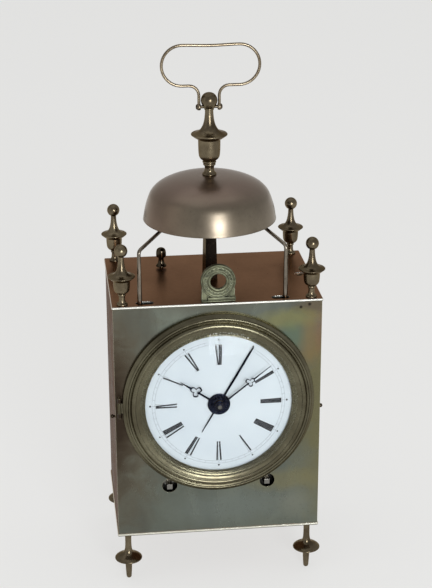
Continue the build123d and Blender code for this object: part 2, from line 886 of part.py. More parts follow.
# Crest: pierced round with raised edges, on a stepped block at the front of the top plate
crest_centre = (crest_x, plate_high + crest_centre_height)
crest_left = crest_x - crest_block_width / 2
crest_pegs_width = 4 * crest_peg_r + 2 * crest_peg_gap
crest_face = crest_inset - crest_thickness / 2
with BuildPart() as crest:
    with BuildSketch(facing(crest_centre, crest_face + crest_thickness)):
        Circle(crest_r)
        Circle(crest_hole_r, mode=Mode.SUBTRACT)
        with PolarLocations(crest_ring_r, crest_beads):
            Circle(crest_bead_r, mode=Mode.SUBTRACT)
    extrude(amount=crest_thickness)
    with BuildSketch(facing(crest_centre, crest_face)):
        Circle(crest_r)
        Circle(crest_r - 2 * crest_bead_height, mode=Mode.SUBTRACT)
        Circle(crest_hole_r + 3 * crest_bead_height)
        Circle(crest_hole_r + crest_bead_height, mode=Mode.SUBTRACT)
    extrude(amount=crest_bead_height)
    with BuildSketch(Plane.XY.offset(plate_high)):
        with Locations((crest_x, crest_y)):
            Rectangle(crest_block_width, crest_block_depth)
    extrude(amount=crest_base_height)
    with BuildSketch(Plane.XY.offset(plate_high + crest_base_height)):
        with Locations((crest_x + crest_pegs_width / 2, crest_y)):
            Rectangle(crest_block_width - crest_pegs_width, crest_block_depth)
    extrude(amount=crest_block_height - crest_base_height)
    with BuildSketch(Plane.XY.offset(plate_high + crest_base_height)):
        with Locations((crest_left + crest_peg_r, crest_y)):
            Circle(crest_peg_r)
        with Locations((crest_left + 3 * crest_peg_r + crest_peg_gap, crest_y)):
            Circle(crest_peg_r)
    extrude(amount=crest_peg_height - crest_base_height)

# Knob on the top plate that lifts the repeat lever; its collar stops it under the plate
knob_base = plate_high + knob_lift
knob_ball_centre = plate_high + knob_height - knob_ball_r
repeat_knob = turned(
    knob_at,
    (0, ceiling_height - knob_tail),
    (knob_stem_r, ceiling_height - knob_tail),
    (knob_stem_r, ceiling_height - knob_stop_drop - knob_stop_r / 2),
    (knob_stop_r, ceiling_height - knob_stop_drop - knob_stop_r / 2),
    (knob_stop_r, ceiling_height - knob_stop_drop),
    (knob_stem_r, ceiling_height - knob_stop_drop),
    (knob_stem_r, knob_base),
    (knob_flare_r, knob_base),
    (knob_flare_r, knob_base + knob_flare_edge),
    (knob_waist_r, knob_ball_centre - knob_ball_r),
    (knob_waist_r, knob_ball_centre),
    (0, knob_ball_centre),
)
with BuildPart() as repeat_knob_with_ball:
    add(repeat_knob)
    with Locations((knob_at[0], knob_at[1], knob_ball_centre)):
        Sphere(knob_ball_r)


def rod_between(start, end, radius):
    run = Vector(*end) - Vector(*start)
    with BuildPart() as rod:
        with BuildSketch(Plane(origin=start, z_dir=run)):
            Circle(radius)
        extrude(amount=run.length)
        with Locations(Location(end)):
            Sphere(radius)
    return rod.part


# Where a hammer's head meets the bell: a chord of the wall's inside at the head's top.
# The wall bulges, so the real gap there is a little wider.
bell_shoulder_height = bell_crown_height - bell_shoulder_drop
head_drop = bell_shoulder_height - hammer_head_height - hammer_head_r
wall_slope = (bell_rim_r - bell_shoulder_r) / (bell_shoulder_height - bell_rim_height)
wall_inside_r = bell_shoulder_r + wall_slope * head_drop - bell_wall
head_back = hammer_inset + hammer_pass_back - (mid_y - front_y)
strike_x = sqrt(wall_inside_r**2 - (abs(head_back) + hammer_head_r) ** 2) - hammer_strike_gap


def hammer(foot_x, side):
    """Arm on its arbor inside the case, up through the top plate and into the bell."""
    pivot_at = (foot_x, hammer_pivot_height)
    bend = (foot_x, hammer_y, hammer_bend_height)
    under_rim = (side * hammer_pass_x, hammer_y + hammer_pass_back, hammer_pass_height)
    head_start = side * strike_x
    head_middle = head_start - side * hammer_head_length / 2
    head_foot = (head_middle, under_rim[1], hammer_head_height)
    arm_length = hammer_bend_height - hammer_pivot_height
    with BuildPart() as piece:
        add(arbor(pivot_at, sheet + end_gap, front_frame_depth - end_gap, hammer_arbor_r))
        add(arbor(pivot_at, sheet * 0.6, front_frame_depth + frame_plate, pivot_r))
        hub_start = hammer_inset - hammer_hub_length / 2
        add(arbor(pivot_at, hub_start, hub_start + hammer_hub_length, hammer_hub_r))
        with Locations((foot_x, hammer_y, hammer_pivot_height + arm_length / 2)):
            Cone(hammer_foot_r, hammer_bend_r, arm_length)
        with Locations(Location(bend)):
            Sphere(hammer_bend_r)
        add(rod_between(bend, under_rim, hammer_rod_r))
        add(rod_between(under_rim, head_foot, hammer_rod_r))
        with BuildSketch(
            Plane(
                origin=(head_start, under_rim[1], hammer_head_height),
                x_dir=(0, 1, 0),
                z_dir=(-side, 0, 0),
            )
        ):
            Circle(hammer_head_r)
        extrude(amount=hammer_head_length)
    return piece.part


# Enamel dial, slightly domed, on the front wall
dial_section = Plane(origin=(0, front_y, dial_height), x_dir=(1, 0, 0), z_dir=(0, 0, -1))
dial_axis = straight_in(centre_at)
with BuildPart() as dial:
    with BuildSketch(dial_section):
        with BuildLine():
            Polyline(
                (dial_hole_r, dial_rim + dial_rise),
                (dial_hole_r, 0),
                (dial_r, 0),
                (dial_r, dial_rim),
            )
            ThreePointArc(
                (dial_r, dial_rim),
                (dial_r * 0.7, dial_rim + dial_rise * 0.51),
                (dial_hole_r, dial_rim + dial_rise),
            )
        make_face()
    revolve(axis=dial_axis)

# Bezel: cast ring with a foot, a cove, a ridge and a broad crest outside, and a flare with a
# ledge for the glass inside; its back is hollow
with BuildPart() as bezel:
    with BuildSketch(dial_section):
        with BuildLine():
            Polyline(
                (glass_seat_r, glass_seat_height + glass_seat_depth),
                (glass_seat_r, glass_seat_height),
                (glass_seat_r - glass_ledge, glass_seat_height),
                (bezel_sight_r + bezel_lip_bead_r, bezel_lip_height),
                (bezel_sight_r, bezel_lip_height - bezel_lip_bead_r),
                (bezel_sight_r, bezel_lip_back),
                (dial_r + hand_gap, bezel_lip_back),
                (dial_r + hand_gap, bezel_back_gap),
                (bezel_hollow_r, bezel_back_gap),
                (bezel_hollow_r, bezel_hollow_depth),
                (bezel_ridge_r - bezel_hollow_wall, bezel_hollow_depth),
                (bezel_ridge_r - bezel_hollow_wall, bezel_back_gap),
                (bezel_r, bezel_back_gap),
                (bezel_r, bezel_foot_height),
            )
            ThreePointArc(
                (bezel_r, bezel_foot_height),
                (bezel_ridge_r + 2 * bezel_ridge_bead_r, bezel_foot_height + bezel_ridge_bead_r),
                (bezel_ridge_r + bezel_ridge_bead_r, bezel_ridge_height),
            )
            Polyline(
                (bezel_ridge_r + bezel_ridge_bead_r, bezel_ridge_height),
                (bezel_ridge_r, bezel_ridge_height),
                (bezel_groove_r, bezel_groove_height),
                (bezel_crest_r, bezel_crest_height),
                (bezel_crest_r - bezel_crest_bead_r / 3, bezel_crest_height + bezel_crest_bead_r * 0.8),
                (glass_seat_r, glass_seat_height + glass_seat_depth),
            )
        make_face()
        with Locations((bezel_ridge_r, bezel_ridge_height)):
            Circle(bezel_ridge_bead_r)
        with Locations((bezel_crest_r, bezel_crest_height)):
            Circle(bezel_crest_bead_r)
        with Locations((bezel_sight_r + 1.5 * bezel_lip_bead_r, bezel_lip_height)):
            Circle(bezel_lip_bead_r)
    revolve(axis=dial_axis)
    knuckle_low = dial_height - bezel_knuckle_length / 2
    with BuildSketch(Plane.XY.offset(knuckle_low)):
        with Locations((bezel_hinge_x, bezel_hinge_y)):
            Circle(bezel_knuckle_r)
        with Locations((bezel_hinge_x + bezel_hinge_out, bezel_hinge_y)):
            Rectangle(bezel_hinge_out * 2, 2 * bezel_pin_r)
    extrude(amount=bezel_knuckle_length)
    with BuildSketch(Plane.XY.offset(knuckle_low)):
        with Locations((bezel_hinge_x, bezel_hinge_y)):
            Circle(bezel_pin_r + running_gap)
    extrude(amount=bezel_knuckle_length, mode=Mode.SUBTRACT)

glass_r = glass_seat_r - running_gap
with BuildPart() as bezel_glass:
    with BuildSketch(dial_section):
        with BuildLine():
            glass_front = TangentArc(
                (0, glass_reach), (glass_r, glass_seat_height + glass_thickness), tangent=(1, 0)
            )
            glass_back = TangentArc(
                (0, glass_reach - glass_thickness), (glass_r, glass_seat_height), tangent=(1, 0)
            )
            Line(glass_front @ 1, glass_back @ 1)
            Line(glass_back @ 0, glass_front @ 0)
        make_face()
    revolve(axis=dial_axis)


def hand_plane(angle, height):
    """Plane in front of the dial whose second direction points along the hand."""
    turn = radians(angle)
    return Plane(
        origin=(0, front_y - height, dial_height),
        x_dir=(cos(turn), 0, -sin(turn)),
        z_dir=(0, -1, 0),
    )


def pierced_hand(angle, height, length, hub_r, hole_r, trefoil_at):
    """Steel hand: round hub, slim blade and an open trefoil part of the way out."""
    lobes = (
        (0, trefoil_at + trefoil_spread),
        (-trefoil_spread, trefoil_at - trefoil_spread / 3),
        (trefoil_spread, trefoil_at - trefoil_spread / 3),
    )
    with BuildPart() as hand:
        with BuildSketch(hand_plane(angle, height)):
            with BuildLine():
                Polyline(
                    (-hand_width / 2, 0),
                    (-hand_width / 2, trefoil_at),
                    (-hand_tip_width / 2, length),
                    (hand_tip_width / 2, length),
                    (hand_width / 2, trefoil_at),
                    (hand_width / 2, 0),
                    close=True,
                )
            make_face()
            Circle(hub_r)
            with Locations(*lobes):
                Circle(trefoil_r)
            with Locations(*lobes):
                Circle(trefoil_inner_r, mode=Mode.SUBTRACT)
            Circle(hole_r, mode=Mode.SUBTRACT)
        extrude(amount=hand_thickness)
    return hand.part


hour_hand = pierced_hand(
    hour_hand_angle, hour_hand_height, hour_hand_length, hour_hub_r, hour_pipe_r, hour_trefoil_at
)
minute_hand = pierced_hand(
    minute_hand_angle, minute_hand_height, minute_hand_length, minute_hub_r, cannon_r, minute_trefoil_at
)

# Alarm hand: black disc and slim needle on a pipe, with the notched cam at the pipe's back end
alarm_cam_end = alarm_cam_depth + alarm_disc_thickness
with BuildPart() as alarm_hand:
    with BuildSketch(hand_plane(alarm_hand_angle, alarm_disc_height)):
        with BuildLine():
            Polyline(
                (-alarm_hand_width / 2, 0),
                (-hand_tip_width / 2, alarm_hand_length),
                (hand_tip_width / 2, alarm_hand_length),
                (alarm_hand_width / 2, 0),
                (hand_tip_width / 2, -alarm_tail_length),
                (-hand_tip_width / 2, -alarm_tail_length),
                close=True,
            )
        make_face()
        Circle(alarm_disc_r)
        Circle(hour_pipe_r + running_gap, mode=Mode.SUBTRACT)
    extrude(amount=alarm_disc_thickness)
    with BuildSketch(hand_plane(alarm_hand_angle, -alarm_cam_end)):
        Circle(alarm_pipe_r)
        Circle(hour_pipe_r + running_gap, mode=Mode.SUBTRACT)
    extrude(amount=alarm_cam_end + alarm_disc_height)
    with BuildSketch(hand_plane(alarm_hand_angle, -alarm_cam_end)):
        Circle(alarm_cam_r)
        Circle(hour_pipe_r + running_gap, mode=Mode.SUBTRACT)
        with Locations((0, alarm_cam_r)):
            Rectangle(alarm_cam_notch, alarm_cam_notch, mode=Mode.SUBTRACT)
    extrude(amount=alarm_disc_thickness)

with BuildPart() as hand_collet:
    with BuildSketch(hand_plane(0, minute_hand_height + hand_thickness)):
        Circle(collet_r)
        Circle(centre_arbor_r + running_gap, mode=Mode.SUBTRACT)
    extrude(amount=collet_height)
    chamfer(hand_collet.faces().sort_by(Axis.Y)[0].outer_wire().edges(), collet_height / 3)

# Movement plates, one behind the front wall and one towards the back, and their pillars
frame_pillars = [
    (x, height)
    for x in (-frame_pillar_x, frame_pillar_x)
    for height in (frame_pillar_low, frame_pillar_high)
]


def frame_outline():
    with BuildSketch() as outline:
        with Locations((0, (floor_height + frame_top) / 2)):
            Rectangle(2 * frame_half_width, frame_top - floor_height)
    return outline.sketch


with BuildPart() as movement_front_plate:
    with BuildSketch(facing((0, 0), front_frame_depth + frame_plate)):
        add(frame_outline())
        with Locations(*train_places, pendulum_at, *arm_pivots):
            Circle(pivot_r + running_gap, mode=Mode.SUBTRACT)
        with Locations(minute_wheel_at):
            Circle(pivot_r + running_gap, mode=Mode.SUBTRACT)
        with Locations(centre_at):
            Circle(centre_arbor_r + running_gap, mode=Mode.SUBTRACT)
        with Locations(going_at, strike_at):
            Circle(winding_arbor_r + running_gap, mode=Mode.SUBTRACT)
    extrude(amount=frame_plate)

with BuildPart() as movement_back_plate:
    with BuildSketch(facing((0, 0), back_frame_depth + frame_plate)):
        add(frame_outline())
        with Locations(*train_places):
            Circle(pivot_r + running_gap, mode=Mode.SUBTRACT)
        with Locations(pendulum_at):
            Circle(arbor_r + running_gap, mode=Mode.SUBTRACT)
        with Locations(going_at, strike_at):
            Circle(winding_square / 2 + running_gap, mode=Mode.SUBTRACT)
    extrude(amount=frame_plate)

with BuildPart() as movement_pillars:
    with BuildSketch(facing((0, 0), back_frame_depth)):
        with Locations(*frame_pillars):
            Circle(frame_pillar_r)
    extrude(amount=frame_space)


def barrel(at, phase):
    """Closed drum with the great wheel as its front end; the winding arbor runs through."""
    bore = winding_arbor_r + running_gap
    with BuildPart() as drum:
        add(toothed(at, barrel_depth - great_thickness, great_thickness, great_teeth,
                    great_module, phase))
        with BuildSketch(facing(at, barrel_end_depth)):
            Circle(barrel_r)
        extrude(amount=barrel_length)
        with BuildSketch(facing(at, barrel_end_depth - barrel_wall)):
            Circle(barrel_r - barrel_wall)
        extrude(amount=barrel_length - barrel_wall, mode=Mode.SUBTRACT)
        with BuildSketch(facing(at, barrel_end_depth)):
            Circle(bore)
        extrude(amount=barrel_length + great_thickness, mode=Mode.SUBTRACT)
    return drum.part


def mainspring(at):
    """Coiled strip inside a drum, with its outer end against the drum's wall."""
    outer_r = barrel_r - barrel_wall - spring_strip / 2 - spring_gap
    inner_r = winding_arbor_r + 2 * spring_strip
    steps_per_turn = 16
    steps = spring_coils * steps_per_turn
    inside = []
    outside = []
    for step in range(steps + 1):
        angle = radians(step * 360 / steps_per_turn)
        radius = inner_r + (outer_r - inner_r) * step / steps
        for edge, edge_r in ((inside, radius - spring_strip / 2), (outside, radius + spring_strip / 2)):
            edge.append((edge_r * cos(angle), edge_r * sin(angle)))
    with BuildPart() as spring:
        with BuildSketch(facing(at, barrel_end_depth - barrel_wall - spring_gap)):
            with BuildLine():
                Polyline(*inside, *reversed(outside), close=True)
            make_face()
        extrude(amount=barrel_length - barrel_wall - 2 * spring_gap)
    return spring.part


def ratchet_points():
    points = []
    for tooth in range(ratchet_teeth):
        start = radians(tooth * 360 / ratchet_teeth)
        points.append((ratchet_r * sin(start), ratchet_r * cos(start)))
        points.append((ratchet_r * 0.84 * sin(start), ratchet_r * 0.84 * cos(start)))
    return points


def winding_arbor(at):
    """Barrel arbor with its ratchet wheel and the square for the key."""
    with BuildPart() as piece:
        add(arbor(at, ratchet_depth, back_frame_depth - end_gap, winding_arbor_r))
        add(arbor(at, ratchet_depth, back_frame_depth + frame_plate, winding_square / 2))
        with BuildSketch(facing(at, ratchet_depth)):
            Rectangle(winding_square, winding_square)
        extrude(amount=ratchet_depth - winding_end_depth)
        with BuildSketch(facing(at, ratchet_depth + ratchet_thickness)):
            with BuildLine():
                Polyline(*ratchet_points(), close=True)
            make_face()
        extrude(amount=ratchet_thickness)
    return piece.part


# Going train: great wheel, second wheel, centre wheel, third wheel, escape wheel
great_front = barrel_depth - great_thickness
leaf_front = great_front - (leaf_length - great_thickness) / 2
second_phase = meshed_phase(going_at, great_teeth, 0, second_at, drive_leaves)
centre_phase = meshed_phase(second_at, second_teeth, 0, centre_at, drive_leaves)
third_phase = meshed_phase(centre_at, fine_teeth, 0, third_at, fine_leaves)
escape_phase = meshed_phase(third_at, fine_teeth, 0, escape_at, fine_leaves)


def leaves_round(wheel_depth):
    return wheel_depth - (leaf_length - wheel_thickness) / 2


with BuildPart() as second_wheel:
    add(held_arbor(second_at))
    add(toothed(second_at, leaf_front, leaf_length, drive_leaves, great_module, second_phase))
    add(toothed(second_at, second_depth, wheel_thickness, second_teeth, great_module, 0, 5))

with BuildPart() as centre_wheel:
    add(arbor(centre_at, -arbor_end_height, back_frame_depth - end_gap, centre_arbor_r))
    add(arbor(centre_at, front_frame_depth, back_frame_depth + frame_plate, pivot_r))
    add(toothed(centre_at, leaves_round(second_depth), leaf_length, drive_leaves, great_module,
                centre_phase))
    add(toothed(centre_at, centre_wheel_depth, wheel_thickness, fine_teeth, fine_module, 0, 4))

with BuildPart() as third_wheel:
    add(held_arbor(third_at, arbor_r * 0.9))
    add(toothed(third_at, leaves_round(centre_wheel_depth), leaf_length, fine_leaves, fine_module,
                third_phase))
    add(toothed(third_at, third_wheel_depth, wheel_thickness, fine_teeth, third_module, 0, 4))


def escape_points():
    """Slender teeth that lean forward, as on an anchor escapement."""
    points = []
    step = 360 / escape_teeth
    for tooth in range(escape_teeth):
        for radius, share in ((escape_root_r, 0.0), (escape_tip_r, 0.45), (escape_root_r, 0.35)):
            angle = radians((tooth + share) * step)
            points.append((radius * sin(angle), radius * cos(angle)))
    return points


with BuildPart() as escape_wheel:
    add(held_arbor(escape_at, arbor_r * 0.8))
    add(toothed(escape_at, leaves_round(third_wheel_depth), leaf_length, fine_leaves, third_module,
                escape_phase))
    with BuildSketch(facing(escape_at, escape_depth + wheel_thickness)):
        with BuildLine():
            Polyline(*escape_points(), close=True)
        make_face()
    extrude(amount=wheel_thickness)

# Strike train: great wheel, pin wheel that lifts the hammer, and the fly that slows it
strike_pin_phase = meshed_phase(strike_at, great_teeth, 0, pin_wheel_at, drive_leaves)
fly_phase = meshed_phase(pin_wheel_at, pin_teeth, 0, fly_at, fly_leaves)
with BuildPart() as strike_pin_wheel:
    add(held_arbor(pin_wheel_at))
    add(toothed(pin_wheel_at, leaf_front, leaf_length, drive_leaves, great_module, strike_pin_phase))
    add(toothed(pin_wheel_at, pin_wheel_depth, wheel_thickness, pin_teeth, pin_module, 0))
    with BuildSketch(facing(pin_wheel_at, pin_wheel_depth)):
        with PolarLocations(pin_ring_r, pin_count):
            Circle(pin_r)
    extrude(amount=pin_length)

with BuildPart() as strike_fly:
    add(held_arbor(fly_at, arbor_r * 0.9))
    add(toothed(fly_at, leaves_round(pin_wheel_depth), leaf_length, fly_leaves, pin_module, fly_phase))
    with BuildSketch(facing(fly_at, fly_depth + fly_vane_length)):
        Rectangle(2 * fly_vane, pivot_r)
    extrude(amount=fly_vane_length)

# Motion work: cannon pinion, minute wheel and its pinion, hour wheel
minute_wheel_phase = meshed_phase(centre_at, cannon_teeth, 0, minute_wheel_at, minute_teeth)
hour_phase = meshed_phase(minute_wheel_at, minute_leaves, 0, centre_at, hour_teeth)
with BuildPart() as cannon_pinion:
    add(toothed(centre_at, motion_depth, motion_thickness, cannon_teeth, cannon_module, 0))
    add(arbor(centre_at, -minute_hand_height - hand_thickness, motion_depth, cannon_r))
    with BuildSketch(facing(centre_at, motion_depth + motion_thickness)):
        Circle(centre_arbor_r + running_gap)
    extrude(
        amount=motion_depth + motion_thickness + minute_hand_height + hand_thickness,
        mode=Mode.SUBTRACT,
    )

with BuildPart() as minute_wheel:
    add(arbor(minute_wheel_at, hour_wheel_depth, front_frame_depth - end_gap, arbor_r))
    add(arbor(minute_wheel_at, hour_wheel_depth, front_frame_depth + frame_plate, pivot_r))
    add(toothed(minute_wheel_at, motion_depth, motion_thickness, minute_teeth, cannon_module,
                minute_wheel_phase, 4))
    add(toothed(minute_wheel_at, hour_wheel_depth, motion_thickness, minute_leaves, hour_module, 0))

with BuildPart() as hour_wheel:
    add(toothed(centre_at, hour_wheel_depth, motion_thickness, hour_teeth, hour_module, hour_phase))
    add(arbor(centre_at, -hour_hand_height - hand_thickness, hour_wheel_depth, hour_pipe_r))
    with BuildSketch(facing(centre_at, hour_wheel_depth + motion_thickness)):
        Circle(cannon_r + running_gap)
    extrude(
        amount=hour_wheel_depth + motion_thickness + hour_hand_height + hand_thickness,
        mode=Mode.SUBTRACT,
    )

# Anchor over the escape wheel, with its crutch behind the back plate
pallet_r = escape_tip_r + anchor_clearance + pallet_width / 2
crutch_depth = back_plate_face + 2 * crutch_r
fork_height = pendulum_pivot_height - crutch_length
with BuildPart() as anchor:
    add(arbor(pendulum_at, front_frame_depth, front_frame_depth + frame_plate + end_gap, pivot_r))
    add(
        arbor(
            pendulum_at,
            front_frame_depth + frame_plate + end_gap,
            crutch_depth + 2 * crutch_r,
            arbor_r,
        )
    )
    for pallet_side in (-1, 1):
        pallet_x = pallet_side * pallet_r * sin(radians(anchor_span))
        pallet_z = escape_at[1] + pallet_r * cos(radians(anchor_span))
        arm_rise = pendulum_pivot_height - pallet_z
        arm_run = sqrt(pallet_x**2 + arm_rise**2)
        arm_tilt = degrees(atan2(-arm_rise, pallet_x))
        with BuildSketch(facing((0, 0), escape_depth + wheel_thickness)):
            with Locations((pallet_x / 2, pallet_z / 2 + pendulum_pivot_height / 2)):
                Rectangle(arm_run, pallet_width, rotation=arm_tilt)
            with Locations((pallet_x, pallet_z)):
                Circle(pallet_width / 2)
            with Locations(pendulum_at):
                Circle(2 * arbor_r)
        extrude(amount=wheel_thickness)
    with BuildSketch(facing((0, 0), crutch_depth + crutch_r)):
        with Locations(pendulum_at):
            Circle(1.8 * arbor_r)
        with Locations((0, pendulum_pivot_height - crutch_length / 2)):
            Rectangle(2 * crutch_r, crutch_length)
        fork_x = pendulum_rod_r + crutch_gap + crutch_r
        with Locations((0, fork_height)):
            Rectangle(2 * fork_x + 2 * crutch_r, 2 * crutch_r)
    extrude(amount=2 * crutch_r)
    for fork_side in (-1, 1):
        add(
            arbor(
                (fork_side * fork_x, fork_height),
                crutch_depth,
                pendulum_depth + 2 * pendulum_rod_r,
                crutch_r,
            )
        )

# Cock on the back plate, with the pin that the pendulum hangs from
cock_bottom = pendulum_pivot_height + eye_r - crutch_r / 3
with BuildPart() as pendulum_cock:
    with BuildSketch(facing((0, 0), cock_lug_depth + cock_lug)):
        with Locations((0, cock_bottom + cock_height / 2)):
            Rectangle(cock_width, cock_height)
    extrude(amount=cock_lug_depth + cock_lug - back_plate_face)
    with BuildSketch(facing((0, 0), cock_lug_depth + cock_lug)):
        with Locations((0, cock_bottom / 2 + (pendulum_pivot_height - eye_r) / 2)):
            Rectangle(cock_lug_width, cock_bottom - pendulum_pivot_height + eye_r)
    extrude(amount=cock_lug)
    add(arbor(pendulum_at, cock_lug_depth, pendulum_depth + eye_thickness, hook_pin_r))

# Pendulum: rod with an eye at the top, lens shaped bob and the nut that sets the rate
bob_height = pendulum_pivot_height - pendulum_length
rod_foot = bob_height - pendulum_tail
rod_at = (0, front_y + pendulum_depth)
with BuildPart() as pendulum_rod:
    with BuildSketch(Plane.XY.offset(rod_foot)):
        with Locations(rod_at):
            Circle(pendulum_rod_r)
    extrude(amount=pendulum_pivot_height - eye_r / 2 - hook_pin_r / 2 - rod_foot)
    with BuildSketch(facing(pendulum_at, pendulum_depth + eye_thickness / 2)):
        Circle(eye_r)
    extrude(amount=eye_thickness)
    with BuildSketch(facing(pendulum_at, pendulum_depth + eye_thickness / 2)):
        Circle(hook_pin_r + running_gap)
    extrude(amount=eye_thickness, mode=Mode.SUBTRACT)

bob_section = Plane(
    origin=(0, front_y + pendulum_depth, bob_height), x_dir=(1, 0, 0), z_dir=(0, 0, -1)
)
with BuildPart() as pendulum_bob:
    with BuildSketch(bob_section):
        with BuildLine():
            bob_front = TangentArc(
                (0, bob_thickness / 2), (bob_r, bob_thickness / 10), tangent=(1, 0)
            )
            bob_back = TangentArc(
                (0, -bob_thickness / 2), (bob_r, -bob_thickness / 10), tangent=(1, 0)
            )
            Line(bob_front @ 1, bob_back @ 1)
            Line(bob_back @ 0, bob_front @ 0)
        make_face()
    revolve(axis=straight_in((0, bob_height)))
    with BuildSketch(Plane.XY.offset(rod_foot)):
        with Locations(rod_at):
            Circle(pendulum_rod_r + running_gap)
    extrude(amount=pendulum_pivot_height - rod_foot, mode=Mode.SUBTRACT)

with BuildPart() as rating_nut:
    with BuildSketch(Plane.XY.offset(bob_height - bob_r - rating_nut_height)):
        with Locations(rod_at):
            Circle(rating_nut_r)
            Circle(pendulum_rod_r, mode=Mode.SUBTRACT)
    extrude(amount=rating_nut_height)

pieces = {
    "bottom_plate": bottom_plate.part,
    "top_plate": top_plate.part,
    "top_plate_screws": top_plate_screws.part,
    "front_plate": front_plate.part,
    "corner_pillars": corner_pillars.part,
    "left_door": side_door(-1),
    "right_door": side_door(1),
    "back_door": back_door.part,
    "left_door_knob": side_knob(-1),
    "right_door_knob": side_knob(1),
    "back_door_knob": back_door_knob,
    "door_hinge_pins": door_hinge_pins.part,
    "bell_post": bell_post.part,
    "bell": bell.part,
    "bell_finial": bell_finial.part,
    "handle": handle.part,
    "handle_pin": handle_pin.part,
    "crest": crest.part,
    "repeat_knob": repeat_knob_with_ball.part,
    "strike_hammer": hammer(hammer_right_x, 1),
    "alarm_hammer": hammer(hammer_left_x, -1),
    "dial": dial.part,
    "bezel": bezel.part,
    "bezel_glass": bezel_glass.part,
    "bezel_hinge_pin": bezel_hinge_pin.part,
    "alarm_hand": alarm_hand.part,
    "hour_hand": hour_hand,
    "minute_hand": minute_hand,
    "hand_collet": hand_collet.part,
    "movement_front_plate": movement_front_plate.part,
    "movement_back_plate": movement_back_plate.part,
    "movement_pillars": movement_pillars.part,
    "going_barrel": barrel(going_at, 0),
    "going_mainspring": mainspring(going_at),
    "going_winding_arbor": winding_arbor(going_at),
    "strike_barrel": barrel(strike_at, 0),
    "strike_mainspring": mainspring(strike_at),
    "strike_winding_arbor": winding_arbor(strike_at),
    "second_wheel": second_wheel.part,
    "centre_wheel": centre_wheel.part,
    "third_wheel": third_wheel.part,
    "escape_wheel": escape_wheel.part,
    "strike_pin_wheel": strike_pin_wheel.part,
    "strike_fly": strike_fly.part,
    "cannon_pinion": cannon_pinion.part,
    "minute_wheel": minute_wheel.part,
    "hour_wheel": hour_wheel.part,
    "anchor": anchor.part,
    "pendulum_cock": pendulum_cock.part,
    "pendulum_rod": pendulum_rod.part,
    "pendulum_bob": pendulum_bob.part,
    "rating_nut": rating_nut.part,
}
for corner, place in corners.items():
    pieces[f"foot_{corner}"] = turned_foot(place)
    pieces[f"finial_{corner}"] = turned_finial(
        place,
        plate_high,
        (finial_base_r, finial_base_height),
        finial_neck_r,
        (finial_bead_r, finial_bead_height),
        (finial_cup_r, finial_cup_bottom, finial_cup_top),
        (finial_flange_r, finial_flange_height, finial_flange_edge),
        (finial_spire_r, finial_spire_top_r),
        (finial_ball_r, finial_ball_height),
    )

os.makedirs("parts", exist_ok=True)
for name, piece in pieces.items():
    piece.label = name
    export_step(piece, f"parts/{name}.step")
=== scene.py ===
import json
import math

import bmesh
import bpy
from mathutils import Matrix, Vector

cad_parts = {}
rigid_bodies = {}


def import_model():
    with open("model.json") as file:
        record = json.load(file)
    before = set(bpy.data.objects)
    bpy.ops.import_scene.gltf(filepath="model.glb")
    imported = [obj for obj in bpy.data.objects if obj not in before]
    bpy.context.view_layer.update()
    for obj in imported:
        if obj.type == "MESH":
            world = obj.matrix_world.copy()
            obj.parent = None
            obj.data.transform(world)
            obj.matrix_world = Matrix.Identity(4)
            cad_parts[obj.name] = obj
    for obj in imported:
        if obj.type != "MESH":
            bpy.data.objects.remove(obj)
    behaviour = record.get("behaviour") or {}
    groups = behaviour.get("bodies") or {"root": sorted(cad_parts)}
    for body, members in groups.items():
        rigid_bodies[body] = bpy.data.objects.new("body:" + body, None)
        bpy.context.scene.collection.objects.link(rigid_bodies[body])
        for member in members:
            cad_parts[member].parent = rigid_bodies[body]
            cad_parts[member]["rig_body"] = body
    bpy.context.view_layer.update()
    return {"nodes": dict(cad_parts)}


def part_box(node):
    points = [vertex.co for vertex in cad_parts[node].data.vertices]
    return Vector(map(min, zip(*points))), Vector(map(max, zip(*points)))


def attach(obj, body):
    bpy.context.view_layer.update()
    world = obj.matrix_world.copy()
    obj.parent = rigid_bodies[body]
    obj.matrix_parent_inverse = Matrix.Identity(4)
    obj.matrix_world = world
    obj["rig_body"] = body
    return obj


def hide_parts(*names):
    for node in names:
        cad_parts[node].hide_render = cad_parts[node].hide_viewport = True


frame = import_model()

# Looks of the travelling clock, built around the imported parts.
# Sizes are in millimetres and turned into metres where the meshes are made.
mm = 0.001
nodes = frame["nodes"]

clock = {
    "midY": 3.7,
    "frontY": -37.8,
    "dialZ": 114.5,
    "plateHigh": 175.7,
    "bellTop": 238.8,
    "pivotZ": 278.5,
}
dialCentre = (0, clock["frontY"], clock["dialZ"])
bellCentre = (0, clock["midY"], clock["bellTop"])
pivotCentre = (0, clock["midY"], clock["pivotZ"])


def rgb(red, green, blue):
    # screen colour, 0 to 255, to Blender's linear colour
    linear = []
    for part in (red, green, blue):
        share = part / 255
        linear.append(share / 12.92 if share <= 0.04045 else ((share + 0.055) / 1.055) ** 2.4)
    return (*linear, 1.0)


# node helpers


def feed(tree, socket, value):
    # links another node's socket, or sets a plain value
    if isinstance(value, bpy.types.NodeSocket):
        tree.links.new(value, socket)
    else:
        socket.default_value = value


def addNode(tree, kind, inputs=None, **settings):
    item = tree.nodes.new(kind)
    for key, value in settings.items():
        setattr(item, key, value)
    for key, value in (inputs or {}).items():
        feed(tree, item.inputs[key], value)
    return item


def ramp(tree, factor, stops):
    item = addNode(tree, "ShaderNodeValToRGB", {"Fac": factor})
    bar = item.color_ramp
    while len(bar.elements) < len(stops):
        bar.elements.new(0.5)
    for element, (place, colour) in zip(bar.elements, stops):
        element.position = place
        element.color = colour if hasattr(colour, "__len__") else (colour, colour, colour, 1)
    return item.outputs["Color"]


def mixColour(tree, factor, first, second):
    sockets = {0: factor, 6: first, 7: second}
    return addNode(tree, "ShaderNodeMix", sockets, data_type="RGBA").outputs[2]


